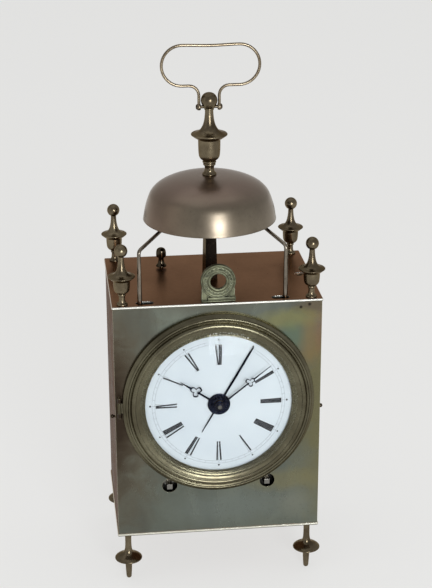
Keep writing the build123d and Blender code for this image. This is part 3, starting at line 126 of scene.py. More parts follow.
def calc(tree, operation, *values):
    return addNode(tree, "ShaderNodeMath", dict(enumerate(values)), operation=operation).outputs[0]


def spread(tree, value, low, high, first, last):
    # moves a number from one range to another and keeps it inside
    return addNode(tree, "ShaderNodeMapRange", {
        "Value": value, "From Min": low, "From Max": high, "To Min": first, "To Max": last
    }).outputs[0]


def distanceFrom(tree, place, x, z, reachX, reachZ):
    # distance from a line along Y, counted in reaches; all in millimetres
    near = addNode(tree, "ShaderNodeMapping", {
        "Vector": place,
        "Location": (-x / reachX, 0, -z / reachZ),
        "Scale": (1000 / reachX, 0, 1000 / reachZ),
    }).outputs[0]
    return addNode(tree, "ShaderNodeVectorMath", {0: near}, operation="LENGTH").outputs["Value"]


def blankMaterial(name):
    material = bpy.data.materials.new(name)
    material.use_nodes = True
    tree = material.node_tree
    tree.nodes.clear()
    shader = addNode(tree, "ShaderNodeBsdfPrincipled")
    showOnSurface(tree, shader)
    return material, tree, shader


def showOnSurface(tree, shader):
    output = next((item for item in tree.nodes if item.type == "OUTPUT_MATERIAL"), None)
    output = output or addNode(tree, "ShaderNodeOutputMaterial")
    tree.links.new(shader.outputs[0], output.inputs[0])


def bumpFrom(tree, shader, height, strength):
    bump = addNode(tree, "ShaderNodeBump", {
        "Height": height, "Strength": strength, "Distance": 0.05 * mm
    })
    tree.links.new(bump.outputs[0], shader.inputs["Normal"])


def objectPlace(tree, stretch=(1, 1, 1)):
    place = addNode(tree, "ShaderNodeTexCoord").outputs["Object"]
    return addNode(tree, "ShaderNodeMapping", {"Vector": place, "Scale": stretch}).outputs[0]


def noise(tree, place, scale, detail=4.0, roughness=0.55, distortion=0.0):
    return addNode(tree, "ShaderNodeTexNoise", {
        "Vector": place, "Scale": scale, "Detail": detail,
        "Roughness": roughness, "Distortion": distortion,
    }).outputs["Fac"]


def wornEdge(tree, radius):
    # 1 on edges within the radius, 0 on flat faces
    rounded = addNode(tree, "ShaderNodeBevel", {"Radius": radius * mm}, samples=6).outputs[0]
    flat = addNode(tree, "ShaderNodeNewGeometry").outputs["Normal"]
    match = addNode(
        tree, "ShaderNodeVectorMath", {0: rounded, 1: flat}, operation="DOT_PRODUCT"
    ).outputs["Value"]
    return ramp(tree, calc(tree, "SUBTRACT", 1.0, match), [(0.01, 0.0), (0.12, 1.0)])


# what the metals share, unless a metal's own dictionary further down says otherwise
metal = {
    "metallic": 1.0,
    "gloss": 0.5,
    "tint": (0.7, 0.62, 0.52, 1),  # tone of the reflection at flat angles
    "coat": 0.0,
    "bump": 0.05,
    "grain": (1, 1, 1),
    "paintedShadeAndSheen": (),
    "edgeRadius": 0.3,
    "edgeShare": 0.5,
    "speckShare": 0.3,
    "cloudBand": (0.32, 0.68),
    "speckScale": 900,
    "speckBand": (0.58, 0.72),
    "streakScale": 420,
    "cloudWear": 0.6,
    "streakWear": 0.4,
    "wearBand": (0.35, 0.65),
    "coatRoughness": 0.3,
    "creviceReach": 0.9,
    "creviceBand": (0.35, 0.85),
    "rimHighlightBand": (0.75, 0.95),  # how far a face leans back before it loses the painted rim highlight
    "rimShadowLine": 0.1,
}


def paintedRimHighlight(tree, height, colour, rim):
    # upright faces of a plate get a painted highlight, with a painted shadow line at their foot
    tone, foot, footShadowTone = rim
    normal = addNode(tree, "ShaderNodeTexCoord").outputs["Normal"]
    upright = addNode(tree, "ShaderNodeSeparateXYZ", {"Vector": normal}).outputs["Z"]
    line = metal["rimShadowLine"]
    above = spread(tree, height, (foot - line) * mm, (foot + line) * mm, 0.0, 1.0)
    tone = mixColour(tree, above, footShadowTone, tone)
    onRimHighlight = spread(tree, calc(tree, "ABSOLUTE", upright), *metal["rimHighlightBand"], 1.0, 0.0)
    return mixColour(tree, onRimHighlight, colour, tone)


def agedMetal(name, finish):
    # metal with clouds of two tones, fine specks, brushed streaks and brighter worn edges
    finish = metal | finish
    material, tree, shader = blankMaterial(name)
    shader.inputs["Metallic"].default_value = finish["metallic"]
    shader.inputs["Specular Tint"].default_value = finish["tint"]
    shader.inputs["Specular IOR Level"].default_value = finish["gloss"]
    shader.inputs["Coat Weight"].default_value = finish["coat"]
    shader.inputs["Coat Roughness"].default_value = finish["coatRoughness"]
    place = objectPlace(tree)
    split = addNode(tree, "ShaderNodeSeparateXYZ", {"Vector": place})
    clouds = noise(tree, place, finish["cloudScale"], 5, 0.6, 0.4)
    low, high = finish["cloudBand"]
    colour = ramp(tree, clouds, [(low, finish["dark"]), (high, finish["light"])])
    specks = noise(tree, place, finish["speckScale"], 3, 0.6)
    low, high = finish["speckBand"]
    specks = calc(tree, "MULTIPLY", ramp(tree, specks, [(low, 0.0), (high, 1.0)]), finish["speckShare"])
    colour = mixColour(tree, specks, colour, finish["speck"])
    if "edge" in finish:
        edges = calc(tree, "MULTIPLY", wornEdge(tree, finish["edgeRadius"]), finish["edgeShare"])
        colour = mixColour(tree, edges, colour, finish["edge"])
    for axis, low, high, tone, share in finish["paintedShadeAndSheen"]:  # painted shade and sheen; each tone grows from low to high
        along = spread(tree, split.outputs[axis], low * mm, high * mm, 0.0, share)
        colour = mixColour(tree, along, colour, tone)
    if "arbor" in finish:  # steel near the axis of a brass wheel
        near = distanceFrom(tree, place, *finish["arbor"])
        colour = mixColour(tree, spread(tree, near, 0.97, 1.0, 1.0, 0.0), colour, finish["steel"])
    if "creviceShade" in finish:  # painted shade where faces lie close together
        reach = {"Distance": finish["creviceReach"] * mm}
        openness = addNode(tree, "ShaderNodeAmbientOcclusion", reach, samples=6).outputs["AO"]
        creviceShadeMask = spread(tree, openness, *finish["creviceBand"], 0.85, 0.0)
        colour = mixColour(tree, creviceShadeMask, colour, finish["creviceShade"])
    # painted highlight on the plates' upright rims, with a painted shadow line under it
    if "rim" in finish:
        colour = paintedRimHighlight(tree, split.outputs["Z"], colour, finish["rim"])
    tree.links.new(colour, shader.inputs["Base Color"])
    grain = objectPlace(tree, finish["grain"])
    streaks = noise(tree, grain, finish["streakScale"], 3, 0.5)
    wear = calc(
        tree, "ADD",
        calc(tree, "MULTIPLY", clouds, finish["cloudWear"]),
        calc(tree, "MULTIPLY", streaks, finish["streakWear"]),
    )
    tree.links.new(
        spread(tree, wear, *finish["wearBand"], *finish["rough"]), shader.inputs["Roughness"]
    )
    bumpFrom(tree, shader, streaks, finish["bump"])
    return material


# shape helpers


def smoothRun(points, steps=7):
    # a smooth line through the points; two points stay a straight run
    if len(points) == 2:
        return [Vector(point) for point in points]
    places = [Vector(point) for point in points]
    ends = [2 * places[0] - places[1]] + places + [2 * places[-1] - places[-2]]
    line = []
    for before, start, end, after in zip(ends, ends[1:], ends[2:], ends[3:]):
        for step in range(steps):
            t = step / steps
            line.append(
                0.5
                * (
                    2 * start
                    + (end - before) * t
                    + (2 * before - 5 * start + 4 * end - after) * t**2
                    + (3 * start - before - 3 * end + after) * t**3
                )
            )
    line.append(places[-1])
    return line


def cutBack(line, distance):
    # shortens a line at its end by a distance, measured along it
    line = list(line)
    left = distance
    while len(line) > 2 and (line[-1] - line[-2]).length <= left:
        left -= (line[-1] - line[-2]).length
        line.pop()
    span = (line[-1] - line[-2]).length
    if span > 1e-9:
        line[-1] = line[-1].lerp(line[-2], min(0.45, left / span))
    return line


def lineLength(line):
    return sum((b - a).length for a, b in zip(line, line[1:]))


def profileLine(runs, edge, closed):
    # joins the runs; each join gets a small rounded edge
    lines = [smoothRun(run) for run in runs]
    joins = range(len(lines)) if closed else range(len(lines) - 1)
    corners = {}
    for index in joins:
        following = (index + 1) % len(lines)
        corner = lines[index][-1].copy()
        reach = min(edge, lineLength(lines[index]) * 0.35, lineLength(lines[following]) * 0.35)
        lines[index] = cutBack(lines[index], reach)
        lines[following] = cutBack(lines[following][::-1], reach)[::-1]
        corners[index] = corner
    result = []
    for index, line in enumerate(lines):
        if len(line) == 2:  # a straight run gets a point near each end, so its shading stays flat
            a, b = line
            span = (b - a).length
            near = min(0.2, 0.2 * span) / max(span, 1e-9)
            line = [a, a.lerp(b, near), a.lerp(b, 1 - near), b]
        result.extend(line)
        if index in corners:
            start, end = line[-1], lines[(index + 1) % len(lines)][0]
            corner = corners[index]
            for t in (0.25, 0.5, 0.75):
                result.append(start.lerp(corner, t).lerp(corner.lerp(end, t), t))
    slim = [result[0]]
    for point in result[1:]:
        if (point - slim[-1]).length > 1e-4:
            slim.append(point)
    if closed and (slim[-1] - slim[0]).length < 1e-4:
        slim.pop()
    return slim


facings = {
    "up": (Vector((1, 0, 0)), Vector((0, 1, 0)), Vector((0, 0, 1))),
    "front": (Vector((1, 0, 0)), Vector((0, 0, 1)), Vector((0, -1, 0))),
    "back": (Vector((1, 0, 0)), Vector((0, 0, 1)), Vector((0, 1, 0))),
    "right": (Vector((0, 1, 0)), Vector((0, 0, 1)), Vector((1, 0, 0))),
    "left": (Vector((0, 1, 0)), Vector((0, 0, 1)), Vector((-1, 0, 0))),
}


def latheInto(mesh, runs, at, facing="up", steps=72, edge=0.15, closed=False):
    # turns a profile of (radius, height) runs about an axis
    side, over, axis = facings[facing]
    origin = Vector(at)
    rings = []
    for radius, height in profileLine(runs, edge, closed):
        if radius < 1e-3:
            rings.append([mesh.verts.new((origin + axis * height) * mm)])
            continue
        ring = []
        for step in range(steps):
            angle = 2 * math.pi * step / steps
            out = side * math.cos(angle) + over * math.sin(angle)
            ring.append(mesh.verts.new((origin + out * radius + axis * height) * mm))
        rings.append(ring)
    pairs = list(zip(rings, rings[1:]))
    if closed:
        pairs.append((rings[-1], rings[0]))
    for low, high in pairs:
        for step in range(steps):
            following = (step + 1) % steps
            if len(low) == 1 and len(high) == 1:
                break
            if len(low) == 1:
                mesh.faces.new((low[0], high[following], high[step]))
            elif len(high) == 1:
                mesh.faces.new((low[step], low[following], high[0]))
            else:
                mesh.faces.new((low[step], low[following], high[following], high[step]))


def tubeInto(mesh, path, radii, sides=20):
    # round rod along a path, with rounded ends
    points = [Vector(point) for point in path]
    across = None
    rings = []
    for index, point in enumerate(points):
        ahead = points[min(index + 1, len(points) - 1)]
        behind = points[max(index - 1, 0)]
        along = (ahead - behind).normalized()
        if across is None:
            helper = Vector((0, 0, 1)) if abs(along.z) < 0.9 else Vector((0, 1, 0))
            across = helper.cross(along).normalized()
        across = (across - along * across.dot(along)).normalized()
        other = along.cross(across)
        radius = radii[index] if hasattr(radii, "__len__") else radii
        rings.append((point, across.copy(), other, along, radius))
    domes = []
    for end, sign in ((0, -1), (-1, 1)):
        point, across, other, along, radius = rings[end]
        dome = []
        for turn in (30, 60):
            shrink = math.cos(math.radians(turn))
            lift = math.sin(math.radians(turn))
            dome.append((point + along * sign * radius * lift, across, other, along, radius * shrink))
        domes.append(dome)
        domes.append(point + along * sign * radius)
    full = domes[0][::-1] + rings + domes[2]
    loops = []
    for point, across, other, along, radius in full:
        loop = []
        for side in range(sides):
            angle = 2 * math.pi * side / sides
            out = across * math.cos(angle) + other * math.sin(angle)
            loop.append(mesh.verts.new((point + out * radius) * mm))
        loops.append(loop)
    for low, high in zip(loops, loops[1:]):
        for side in range(sides):
            following = (side + 1) % sides
            mesh.faces.new((low[side], low[following], high[following], high[side]))
    for loop, tip in ((loops[0], domes[1]), (loops[-1], domes[3])):
        cap = mesh.verts.new(tip * mm)
        for side in range(sides):
            mesh.faces.new((loop[side], loop[(side + 1) % sides], cap))


def closeBox(mesh, corners):
    # six faces over eight corners, four at one end and then four at the other
    for a, b, c, d in (
        (0, 1, 2, 3), (4, 5, 6, 7), (0, 1, 5, 4), (1, 2, 6, 5), (2, 3, 7, 6), (3, 0, 4, 7)
    ):
        mesh.faces.new((corners[a], corners[b], corners[c], corners[d]))


def boxInto(mesh, low, high):
    closeBox(mesh, [
        mesh.verts.new(Vector((x, y, z)) * mm)
        for z in (low[2], high[2])
        for x, y in ((low[0], low[1]), (high[0], low[1]), (high[0], high[1]), (low[0], high[1]))
    ])


def straightRuns(points):
    # straight runs from point to point
    return [[a, b] for a, b in zip(points, points[1:])]


def rodInto(mesh, at, radius, low, high, **settings):
    latheInto(mesh, straightRuns([(0, low), (radius, low), (radius, high), (0, high)]), at, **settings)


def finishMesh(name, mesh, smooth=True):
    bmesh.ops.recalc_face_normals(mesh, faces=mesh.faces)
    data = bpy.data.meshes.new(name)
    mesh.to_mesh(data)
    mesh.free()
    if smooth:
        data.shade_smooth()
    piece = bpy.data.objects.new(name, data)
    bpy.context.scene.collection.objects.link(piece)
    return piece


def latheOf(name, runs, at, **settings):
    mesh = bmesh.new()
    latheInto(mesh, runs, at, **settings)
    return finishMesh(name, mesh)


def applyModifiers(piece):
    # keeps the shape that the modifiers give and drops the modifiers
    shown = piece.evaluated_get(bpy.context.evaluated_depsgraph_get())
    data = bpy.data.meshes.new_from_object(shown)
    piece.modifiers.clear()
    piece.data = data
    return piece


sharpAngle = 30  # degrees between two faces from which their edge is rounded


def keepCrisp(piece, angle):
    # edges sharper than the angle, in degrees, stay crisp in the shading
    piece.data.set_sharp_from_angle(angle=math.radians(angle))


def roundOff(piece, width):
    bevel = piece.modifiers.new("edges", "BEVEL")
    bevel.width = width * mm
    bevel.segments = 3
    bevel.limit_method = "ANGLE"
    bevel.angle_limit = math.radians(sharpAngle)
    bevel.harden_normals = True
    bevel.use_clamp_overlap = True
    return applyModifiers(piece)


def cutAway(piece, cutter):
    cut = piece.modifiers.new("cut", "BOOLEAN")
    cut.operation = "DIFFERENCE"
    cut.solver = "EXACT"
    cut.object = cutter
    applyModifiers(piece)
    bpy.data.objects.remove(cutter)
    return piece


def fit(piece, finish, slot, body, *replaced):
    piece.data.materials.clear()
    piece.data.materials.append(finish)
    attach(piece, body)
    if replaced:
        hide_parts(*replaced)
    return piece


def bodyOf(node):
    return nodes[node]["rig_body"]


def dress(node, finish):
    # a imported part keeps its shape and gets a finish
    data = nodes[node].data
    data.materials.clear()
    data.materials.append(finish)
    for face in data.polygons:
        face.material_index = 0


def middleOf(node):
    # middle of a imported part's box, in millimetres
    low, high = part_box(node)
    return [(a + b) / 2 / mm for a, b in zip(low, high)]


def softened(node, width, finish, slot):
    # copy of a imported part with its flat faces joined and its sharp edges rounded
    mesh = bmesh.new()
    mesh.from_mesh(nodes[node].data)
    bmesh.ops.remove_doubles(mesh, verts=mesh.verts, dist=0.002 * mm)
    bmesh.ops.dissolve_limit(
        mesh, angle_limit=math.radians(1.0), verts=mesh.verts, edges=mesh.edges
    )
    for layer in list(mesh.loops.layers.uv.values()):
        mesh.loops.layers.uv.remove(layer)
    piece = finishMesh(f"{node}_finished", mesh)
    keepCrisp(piece, sharpAngle)
    roundOff(piece, width)
    return fit(piece, finish, slot, bodyOf(node), node)


# finishes

print("finishes")
turnedBrass = agedMetal("turned brass", {
    "light": rgb(124, 113, 92), "dark": rgb(80, 70, 56), "speck": rgb(38, 32, 24),
    "cloudScale": 60, "speckShare": 0.35, "rough": (0.2, 0.32),
    "edge": rgb(196, 184, 150), "edgeShare": 0.45,
})
plateBrass = {
    "light": rgb(144, 110, 85), "dark": rgb(112, 84, 64), "speck": rgb(60, 42, 30),
    "cloudScale": 18, "speckShare": 0.15, "rough": (0.26, 0.38), "bump": 0.03,
    "tint": (0.75, 0.62, 0.54, 1),
}
# a rim has its painted highlight tone, the height of its painted shadow line's top edge, and that line's
# tone
topRimHighlight = {"rim": (rgb(236, 236, 228), 174.7, rgb(60, 62, 54))}
bottomRimHighlight = {"rim": (rgb(232, 230, 216), 30.9, rgb(58, 54, 44))}
topBrass = agedMetal("top brass", plateBrass | topRimHighlight)
bottomBrass = agedMetal("bottom brass", plateBrass | bottomRimHighlight)
doorBrass = agedMetal("door brass", {
    "light": rgb(122, 98, 74), "dark": rgb(94, 73, 56), "speck": rgb(50, 38, 28),
    "cloudScale": 22, "rough": (0.2, 0.34), "grain": (0.3, 0.3, 1), "edge": rgb(186, 166, 128),
    "metallic": 0.6, "gloss": 0.0, "tint": (0.3, 0.2, 0.15, 1),
})
bellBronze = agedMetal("bell bronze", {
    "light": rgb(124, 113, 95), "dark": rgb(94, 82, 66), "speck": rgb(50, 40, 32),
    "cloudScale": 24, "speckShare": 0.25, "rough": (0.27, 0.37), "bump": 0.06,
    "grain": (0.1, 0.1, 1), "coat": 0.9,
    # painted shade on the bell's left side and painted sheen over its top
    "paintedShadeAndSheen": [("X", -12, -36, rgb(106, 78, 58), 0.7), ("Z", 228, 236, rgb(126, 102, 90), 0.7)],
})
bezelBrass = agedMetal("bezel brass", {
    "light": rgb(116, 112, 92), "dark": rgb(80, 75, 60), "speck": rgb(44, 37, 27),
    "cloudScale": 40, "rough": (0.2, 0.32), "edge": rgb(196, 190, 164), "edgeShare": 0.3,
})
crestBrass = agedMetal("crest brass", {
    "light": rgb(122, 124, 100), "dark": rgb(74, 76, 62), "speck": rgb(40, 34, 24),
    "cloudScale": 160, "speckScale": 700, "speckShare": 0.6, "rough": (0.35, 0.55), "bump": 0.4,
    "metallic": 0.8, "edge": rgb(184, 190, 168), "edgeRadius": 0.35, "edgeShare": 0.8,
    # painted shade in the crest's dimples and crevices
    "creviceShade": rgb(34, 34, 26),
})
wireSteel = agedMetal("wire steel", {
    "light": rgb(150, 138, 118), "dark": rgb(100, 88, 72), "speck": rgb(56, 46, 34),
    "cloudScale": 90, "rough": (0.14, 0.26),
})
postIron = agedMetal("post iron", {
    "light": rgb(40, 34, 29), "dark": rgb(22, 18, 15), "speck": rgb(84, 70, 56),
    "cloudScale": 60, "speckShare": 0.25, "rough": (0.16, 0.34), "bump": 0.1,
    "edge": rgb(84, 76, 54), "edgeRadius": 0.5, "edgeShare": 0.6,
})
hammerSteel = agedMetal("hammer steel", {
    "light": rgb(146, 138, 126), "dark": rgb(98, 90, 80), "speck": rgb(50, 42, 34),
    "cloudScale": 70, "speckShare": 0.35, "rough": (0.12, 0.24), "bump": 0.06,
})
trainBrass = {
    "light": rgb(190, 162, 104), "dark": rgb(150, 124, 74), "speck": rgb(92, 72, 40),
    "cloudScale": 40, "speckShare": 0.25, "rough": (0.24, 0.38), "bump": 0.08,
    "grain": (1, 1, 0.1), "edge": rgb(220, 202, 152),
}
movementBrass = agedMetal("movement brass", trainBrass)


def wheelBrass(node):
    # brass wheel on a steel arbor, both packed as one part
    x, _, z = middleOf(node)
    reach = 1.9
    return agedMetal(f"{node} brass", trainBrass | {
        "arbor": (x, z, reach, reach), "steel": rgb(104, 102, 98), "cloudScale": 60,
    })


arborSteel = agedMetal("arbor steel", {
    "light": rgb(142, 140, 134), "dark": rgb(98, 95, 90), "speck": rgb(60, 55, 48),
    "cloudScale": 80, "speckShare": 0.25, "rough": (0.18, 0.3),
})
springSteel = agedMetal("spring steel", {
    "light": rgb(104, 108, 118), "dark": rgb(62, 66, 78), "speck": rgb(40, 38, 40),
    "cloudScale": 40, "rough": (0.24, 0.4), "bump": 0.08,
})
bluedSteel = agedMetal("blued steel", {
    "light": rgb(34, 38, 56), "dark": rgb(16, 18, 28), "speck": rgb(70, 66, 62),
    "cloudScale": 120, "speckShare": 0.15, "rough": (0.2, 0.34), "bump": 0.04,
    "edge": rgb(84, 86, 98), "edgeRadius": 0.15,
})
screwSteel = agedMetal("screw steel", {
    "light": rgb(72, 64, 54), "dark": rgb(38, 32, 26), "speck": rgb(110, 96, 74),
    "cloudScale": 160, "rough": (0.3, 0.45), "bump": 0.1,
})
knobBrass = agedMetal("knob brass", {
    "light": rgb(76, 68, 56), "dark": rgb(44, 38, 30), "speck": rgb(26, 22, 16),
    "cloudScale": 90, "rough": (0.1, 0.2),
})


def platePatina(name):
    # the front wall: grey green clouds with zones of other tones, three of them painted shade; each zone
    # has its place across and up in millimetres, its reach both ways, its tone and its share
    patina = {
        "grey": rgb(90, 94, 88),
        "green": rgb(112, 117, 106),
        "zones": [
            ((-66, 110), (40, 105), rgb(88, 76, 60), 0.85),
            # painted shade at the left middle, by the bezel's hinge
            ((-63, 108), (20, 56), rgb(52, 42, 33), 0.95),
            ((63, 112), (26, 90), rgb(112, 107, 76), 0.85),
            ((-8, 176), (44, 9), rgb(94, 92, 82), 0.6),
            ((6, 46), (44, 14), rgb(113, 120, 114), 0.7),
            ((57, 173), (17, 9), rgb(98, 88, 72), 0.85),
            ((40, 164), (22, 8), rgb(134, 132, 84), 0.6),
            ((43, 153), (12, 11), rgb(98, 122, 100), 0.45),
            ((54, 150), (9, 20), rgb(132, 110, 74), 0.55),
            ((59, 156), (5, 16), rgb(128, 96, 82), 0.4),
            ((40, 62), (30, 9), rgb(128, 122, 88), 0.5),
            # two dark spots painted for the shade inside pin holes
            ((52.2, 172.6), (1.3, 1.3), rgb(26, 22, 18), 0.9),
            ((47.3, 171.1), (1.1, 1.1), rgb(26, 22, 18), 0.9),
            ((46, 46), (12, 12), rgb(126, 128, 116), 0.5),
        ],
        "wander": 0.7,
        "pits": rgb(58, 52, 36),
        "rubbed": rgb(196, 188, 156),
    }
    material, tree, shader = blankMaterial(name)
    shader.inputs["Metallic"].default_value = 0.92
    place = objectPlace(tree)
    clouds = noise(tree, objectPlace(tree, (1, 1, 0.45)), 26, 6, 0.6, 0.9)
    colour = ramp(tree, clouds, [(0.3, patina["grey"]), (0.7, patina["green"])])
    shake = calc(tree, "SUBTRACT", noise(tree, place, 70, 5, 0.6, 1.0), 0.5)
    shake = calc(tree, "MULTIPLY", shake, patina["wander"])
    for (x, z), (reachX, reachZ), tone, share in patina["zones"]:
        distance = distanceFrom(tree, place, x, z, reachX, reachZ)
        mask = spread(tree, calc(tree, "ADD", distance, shake), 0.35, 1.0, share, 0.0)
        colour = mixColour(tree, mask, colour, tone)
    fine = noise(tree, place, 800, 3, 0.6)
    pits = calc(tree, "MULTIPLY", ramp(tree, fine, [(0.58, 0.0), (0.74, 1.0)]), 0.25)
    colour = mixColour(tree, pits, colour, patina["pits"])
    rubs = calc(tree, "MULTIPLY", wornEdge(tree, 0.4), 0.5)
    colour = mixColour(tree, rubs, colour, patina["rubbed"])
    tree.links.new(colour, shader.inputs["Base Color"])
    tree.links.new(spread(tree, clouds, 0.3, 0.7, 0.2, 0.32), shader.inputs["Roughness"])
    bumpFrom(tree, shader, fine, 0.05)
    return material


def enamelWhite(name):
    material, tree, shader = blankMaterial(name)
    place = objectPlace(tree)
    clouds = noise(tree, place, 30, 4)
    colour = ramp(tree, clouds, [(0.3, rgb(206, 214, 222)), (0.7, rgb(218, 225, 231))])
    tree.links.new(colour, shader.inputs["Base Color"])
    shader.inputs["Roughness"].default_value = 0.18
    shader.inputs["Coat Weight"].default_value = 0.4
    shader.inputs["Coat Roughness"].default_value = 0.05
    bumpFrom(tree, shader, noise(tree, place, 160, 2), 0.05)
    return material


def inkBlack(name, tone):
    material, tree, shader = blankMaterial(name)
    place = objectPlace(tree)
    worn = noise(tree, place, 500, 3)
    darker = tuple(part * 0.7 for part in tone[:3]) + (1,)
    colour = ramp(tree, worn, [(0.35, darker), (0.7, tone)])
    tree.links.new(colour, shader.inputs["Base Color"])
    shader.inputs["Roughness"].default_value = 0.3
    return material


def clearGlass(name):
    material, tree, shader = blankMaterial(name)
    tree.nodes.remove(shader)
    see = addNode(tree, "ShaderNodeBsdfTransparent", {"Color": (0.985, 0.992, 0.99, 1)})
    smear = noise(tree, objectPlace(tree), 60, 3)
    gloss = addNode(tree, "ShaderNodeBsdfAnisotropic", {
        "Color": (1, 1, 1, 1), "Roughness": spread(tree, smear, 0.3, 0.7, 0.01, 0.05)
    })
    rim = addNode(tree, "ShaderNodeFresnel", {"IOR": 1.45}).outputs[0]
    rim = calc(tree, "MULTIPLY", rim, 0.08)  # an old, slightly dull glass
    showOnSurface(tree, addNode(tree, "ShaderNodeMixShader", {
        0: rim, 1: see.outputs[0], 2: gloss.outputs[0]
    }))
    return material


frontPatina = platePatina("front patina")
dialEnamel = enamelWhite("dial enamel")
numeralInk = inkBlack("numeral ink", rgb(20, 21, 30))
trackInk = inkBlack("track ink", rgb(92, 98, 110))
bezelGlass = clearGlass("bezel glass")

# case

print("case")
softened("top_plate", 0.55, topBrass, "top_brass")
softened("bottom_plate", 0.55, bottomBrass, "case_brass")
softened("front_plate", 0.15, frontPatina, "case_brass")
for node in ("left_door", "right_door", "back_door"):
    softened(node, 0.12, doorBrass, "door_brass")
dress("corner_pillars", turnedBrass)
dress("door_hinge_pins", arborSteel)
dress("bezel_hinge_pin", arborSteel)


def ball(centre, radius, start, end, steps=12):
    # points of a ball's outline from one angle to another, 0 at its foot
    line = []
    for step in range(steps + 1):
        turn = math.radians(start + (end - start) * step / steps)
        line.append((max(0.0, radius * math.sin(turn)), centre - radius * math.cos(turn)))
    return line


# corner finials, heights above the top plate
finial = {
    "foot": [(3.15, 0.0), (3.2, 0.45), (3.0, 0.95)],
    "stem": [(2.75, 1.0), (2.2, 1.5), (1.82, 2.6), (1.7, 4.2), (1.7, 5.2)],
    "bead": [(1.7, 5.2), (2.08, 5.5), (2.14, 5.95), (2.04, 6.4), (1.75, 6.7)],
    "cup": [(1.75, 6.7), (3.2, 7.35), (4.2, 8.7), (4.55, 10.6), (4.68, 12.8), (4.7, 14.5)],
    "under": [(4.7, 14.5), (5.9, 15.3), (7.35, 16.55)],
    "lip": [(7.35, 16.55), (7.6, 16.75), (7.62, 17.05), (7.35, 17.3)],
    "trumpet": [(7.35, 17.3), (5.4, 17.75), (3.9, 18.7), (2.7, 20.6), (2.0, 23.2), (1.65, 26.0),
                (1.55, 28.5)],
    "ballRadius": 3.7,
    "ballHeight": 31.9,
}


def turnedFinial(name, node):
    x, y, _ = middleOf(node)
    base, neck = finial["foot"], finial["trumpet"][-1]
    runs = [
        [(0, 0), (base[0][0], 0)],
        base,
        [base[-1], finial["stem"][0]],
        finial["stem"], finial["bead"], finial["cup"], finial["under"], finial["lip"],
        finial["trumpet"],
        [neck] + ball(finial["ballHeight"], finial["ballRadius"], 24.8, 180)[1:],
    ]
    piece = latheOf(name, runs, (x, y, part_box(node)[0].z / mm))
    return fit(piece, turnedBrass, "turned_brass", "case", node)


# feet, heights above the floor
foot = {
    "pin": [(0, 0), (0.8, 0.05), (1.3, 0.45), (1.55, 1.2)],
    "shank": [(1.55, 1.2), (1.9, 7.0), (2.0, 11.0), (2.05, 11.6)],
    "ring": [(2.05, 11.6), (3.3, 11.9), (3.9, 12.25)],
    "cone": [(3.9, 12.25), (6.2, 12.8), (7.7, 13.3)],
    "edge": [(7.7, 13.3), (8.04, 13.55), (8.04, 13.95), (7.8, 14.3)],
    "shoulder": [(7.8, 14.3), (6.6, 15.2), (4.9, 16.1), (3.4, 17.0), (2.5, 18.3), (2.0, 20.5)],
    "stem": [(2.0, 20.5), (1.85, 23.5), (1.86, 27.5), (2.2, 29.6), (2.6, 30.4)],
}


def turnedFoot(name, node):
    x, y, _ = middleOf(node)
    shoulder = foot["shoulder"] + foot["stem"][1:]
    top = foot["stem"][-1]
    runs = [
        foot["pin"], foot["shank"], foot["ring"], foot["cone"], foot["edge"], shoulder,
        [top, (0, top[1])],
    ]
    return fit(latheOf(name, runs, (x, y, 0)), turnedBrass, "turned_brass", "case", node)


for corner in ("front_left", "front_right", "back_left", "back_right"):
    turnedFinial(f"finial_{corner}_turned", f"finial_{corner}")
    turnedFoot(f"foot_{corner}_turned", f"foot_{corner}")
print("finials and feet")

# door knobs, heights out from the door
doorKnobs = {
    "left_door_knob": {"at": (-59.5, -31.3, 106.0), "facing": "left", "scale": 1.0},
    "right_door_knob": {"at": (59.5, -31.3, 106.0), "facing": "right", "scale": 1.0},
    "back_door_knob": {"at": (47.8, 45.2, 106.0), "facing": "back", "scale": 1.48},
}
knobOutline = [
    [(0, 0), (0.95, 0)],
    [(0.95, 0), (0.9, 0.2), (0.58, 0.35)],
    [(0.58, 0.35), (0.52, 0.55), (0.6, 0.72)],
    [(0.6, 0.72), (1.0, 0.9), (1.2, 1.35), (1.12, 1.95), (0.75, 2.45), (0.3, 2.65), (0, 2.68)],
]
for node, knob in doorKnobs.items():
    scale = knob["scale"]
    runs = [[(radius * scale, height * scale) for radius, height in run] for run in knobOutline]
    piece = latheOf(f"{node}_turned", runs, knob["at"], facing=knob["facing"], steps=40, edge=0.06)
    fit(piece, knobBrass, "door_brass", bodyOf(node), node)

# two slotted screws sunk in the top plate
screw = {
    "x": 53.2, "radius": 1.7, "foot": 169.2, "top": 175.25,
    "slotWidth": 0.5, "slotDepth": 0.5, "slotReach": 2.2, "crisp": 40,
}
length = screw["top"] - screw["foot"]
mesh = bmesh.new()
for side in (-1, 1):
    latheInto(
        mesh,
        [
            [(0, 0), (screw["radius"], 0)],
            [(screw["radius"], 0), (screw["radius"], length - 0.15)],
            [(screw["radius"], length - 0.15), (1.1, length), (0, length + 0.1)],
        ],
        (side * screw["x"], clock["midY"], screw["foot"]), steps=48, edge=0.1,
    )
screws = finishMesh("sunk_screws", mesh)
mesh = bmesh.new()
for side in (-1, 1):
    x, y, half = side * screw["x"], clock["midY"], screw["slotWidth"] / 2
    boxInto(
        mesh,
        (x - screw["slotReach"], y - half, screw["top"] - screw["slotDepth"]),
        (x + screw["slotReach"], y + half, screw["top"] + 2),
    )
slots = finishMesh("slot_cutter", mesh, smooth=False)
cutAway(screws, slots)
keepCrisp(screws, screw["crisp"])
fit(screws, screwSteel, "arbor_steel", "case", "top_plate_screws")

# bell, its finial and the handle

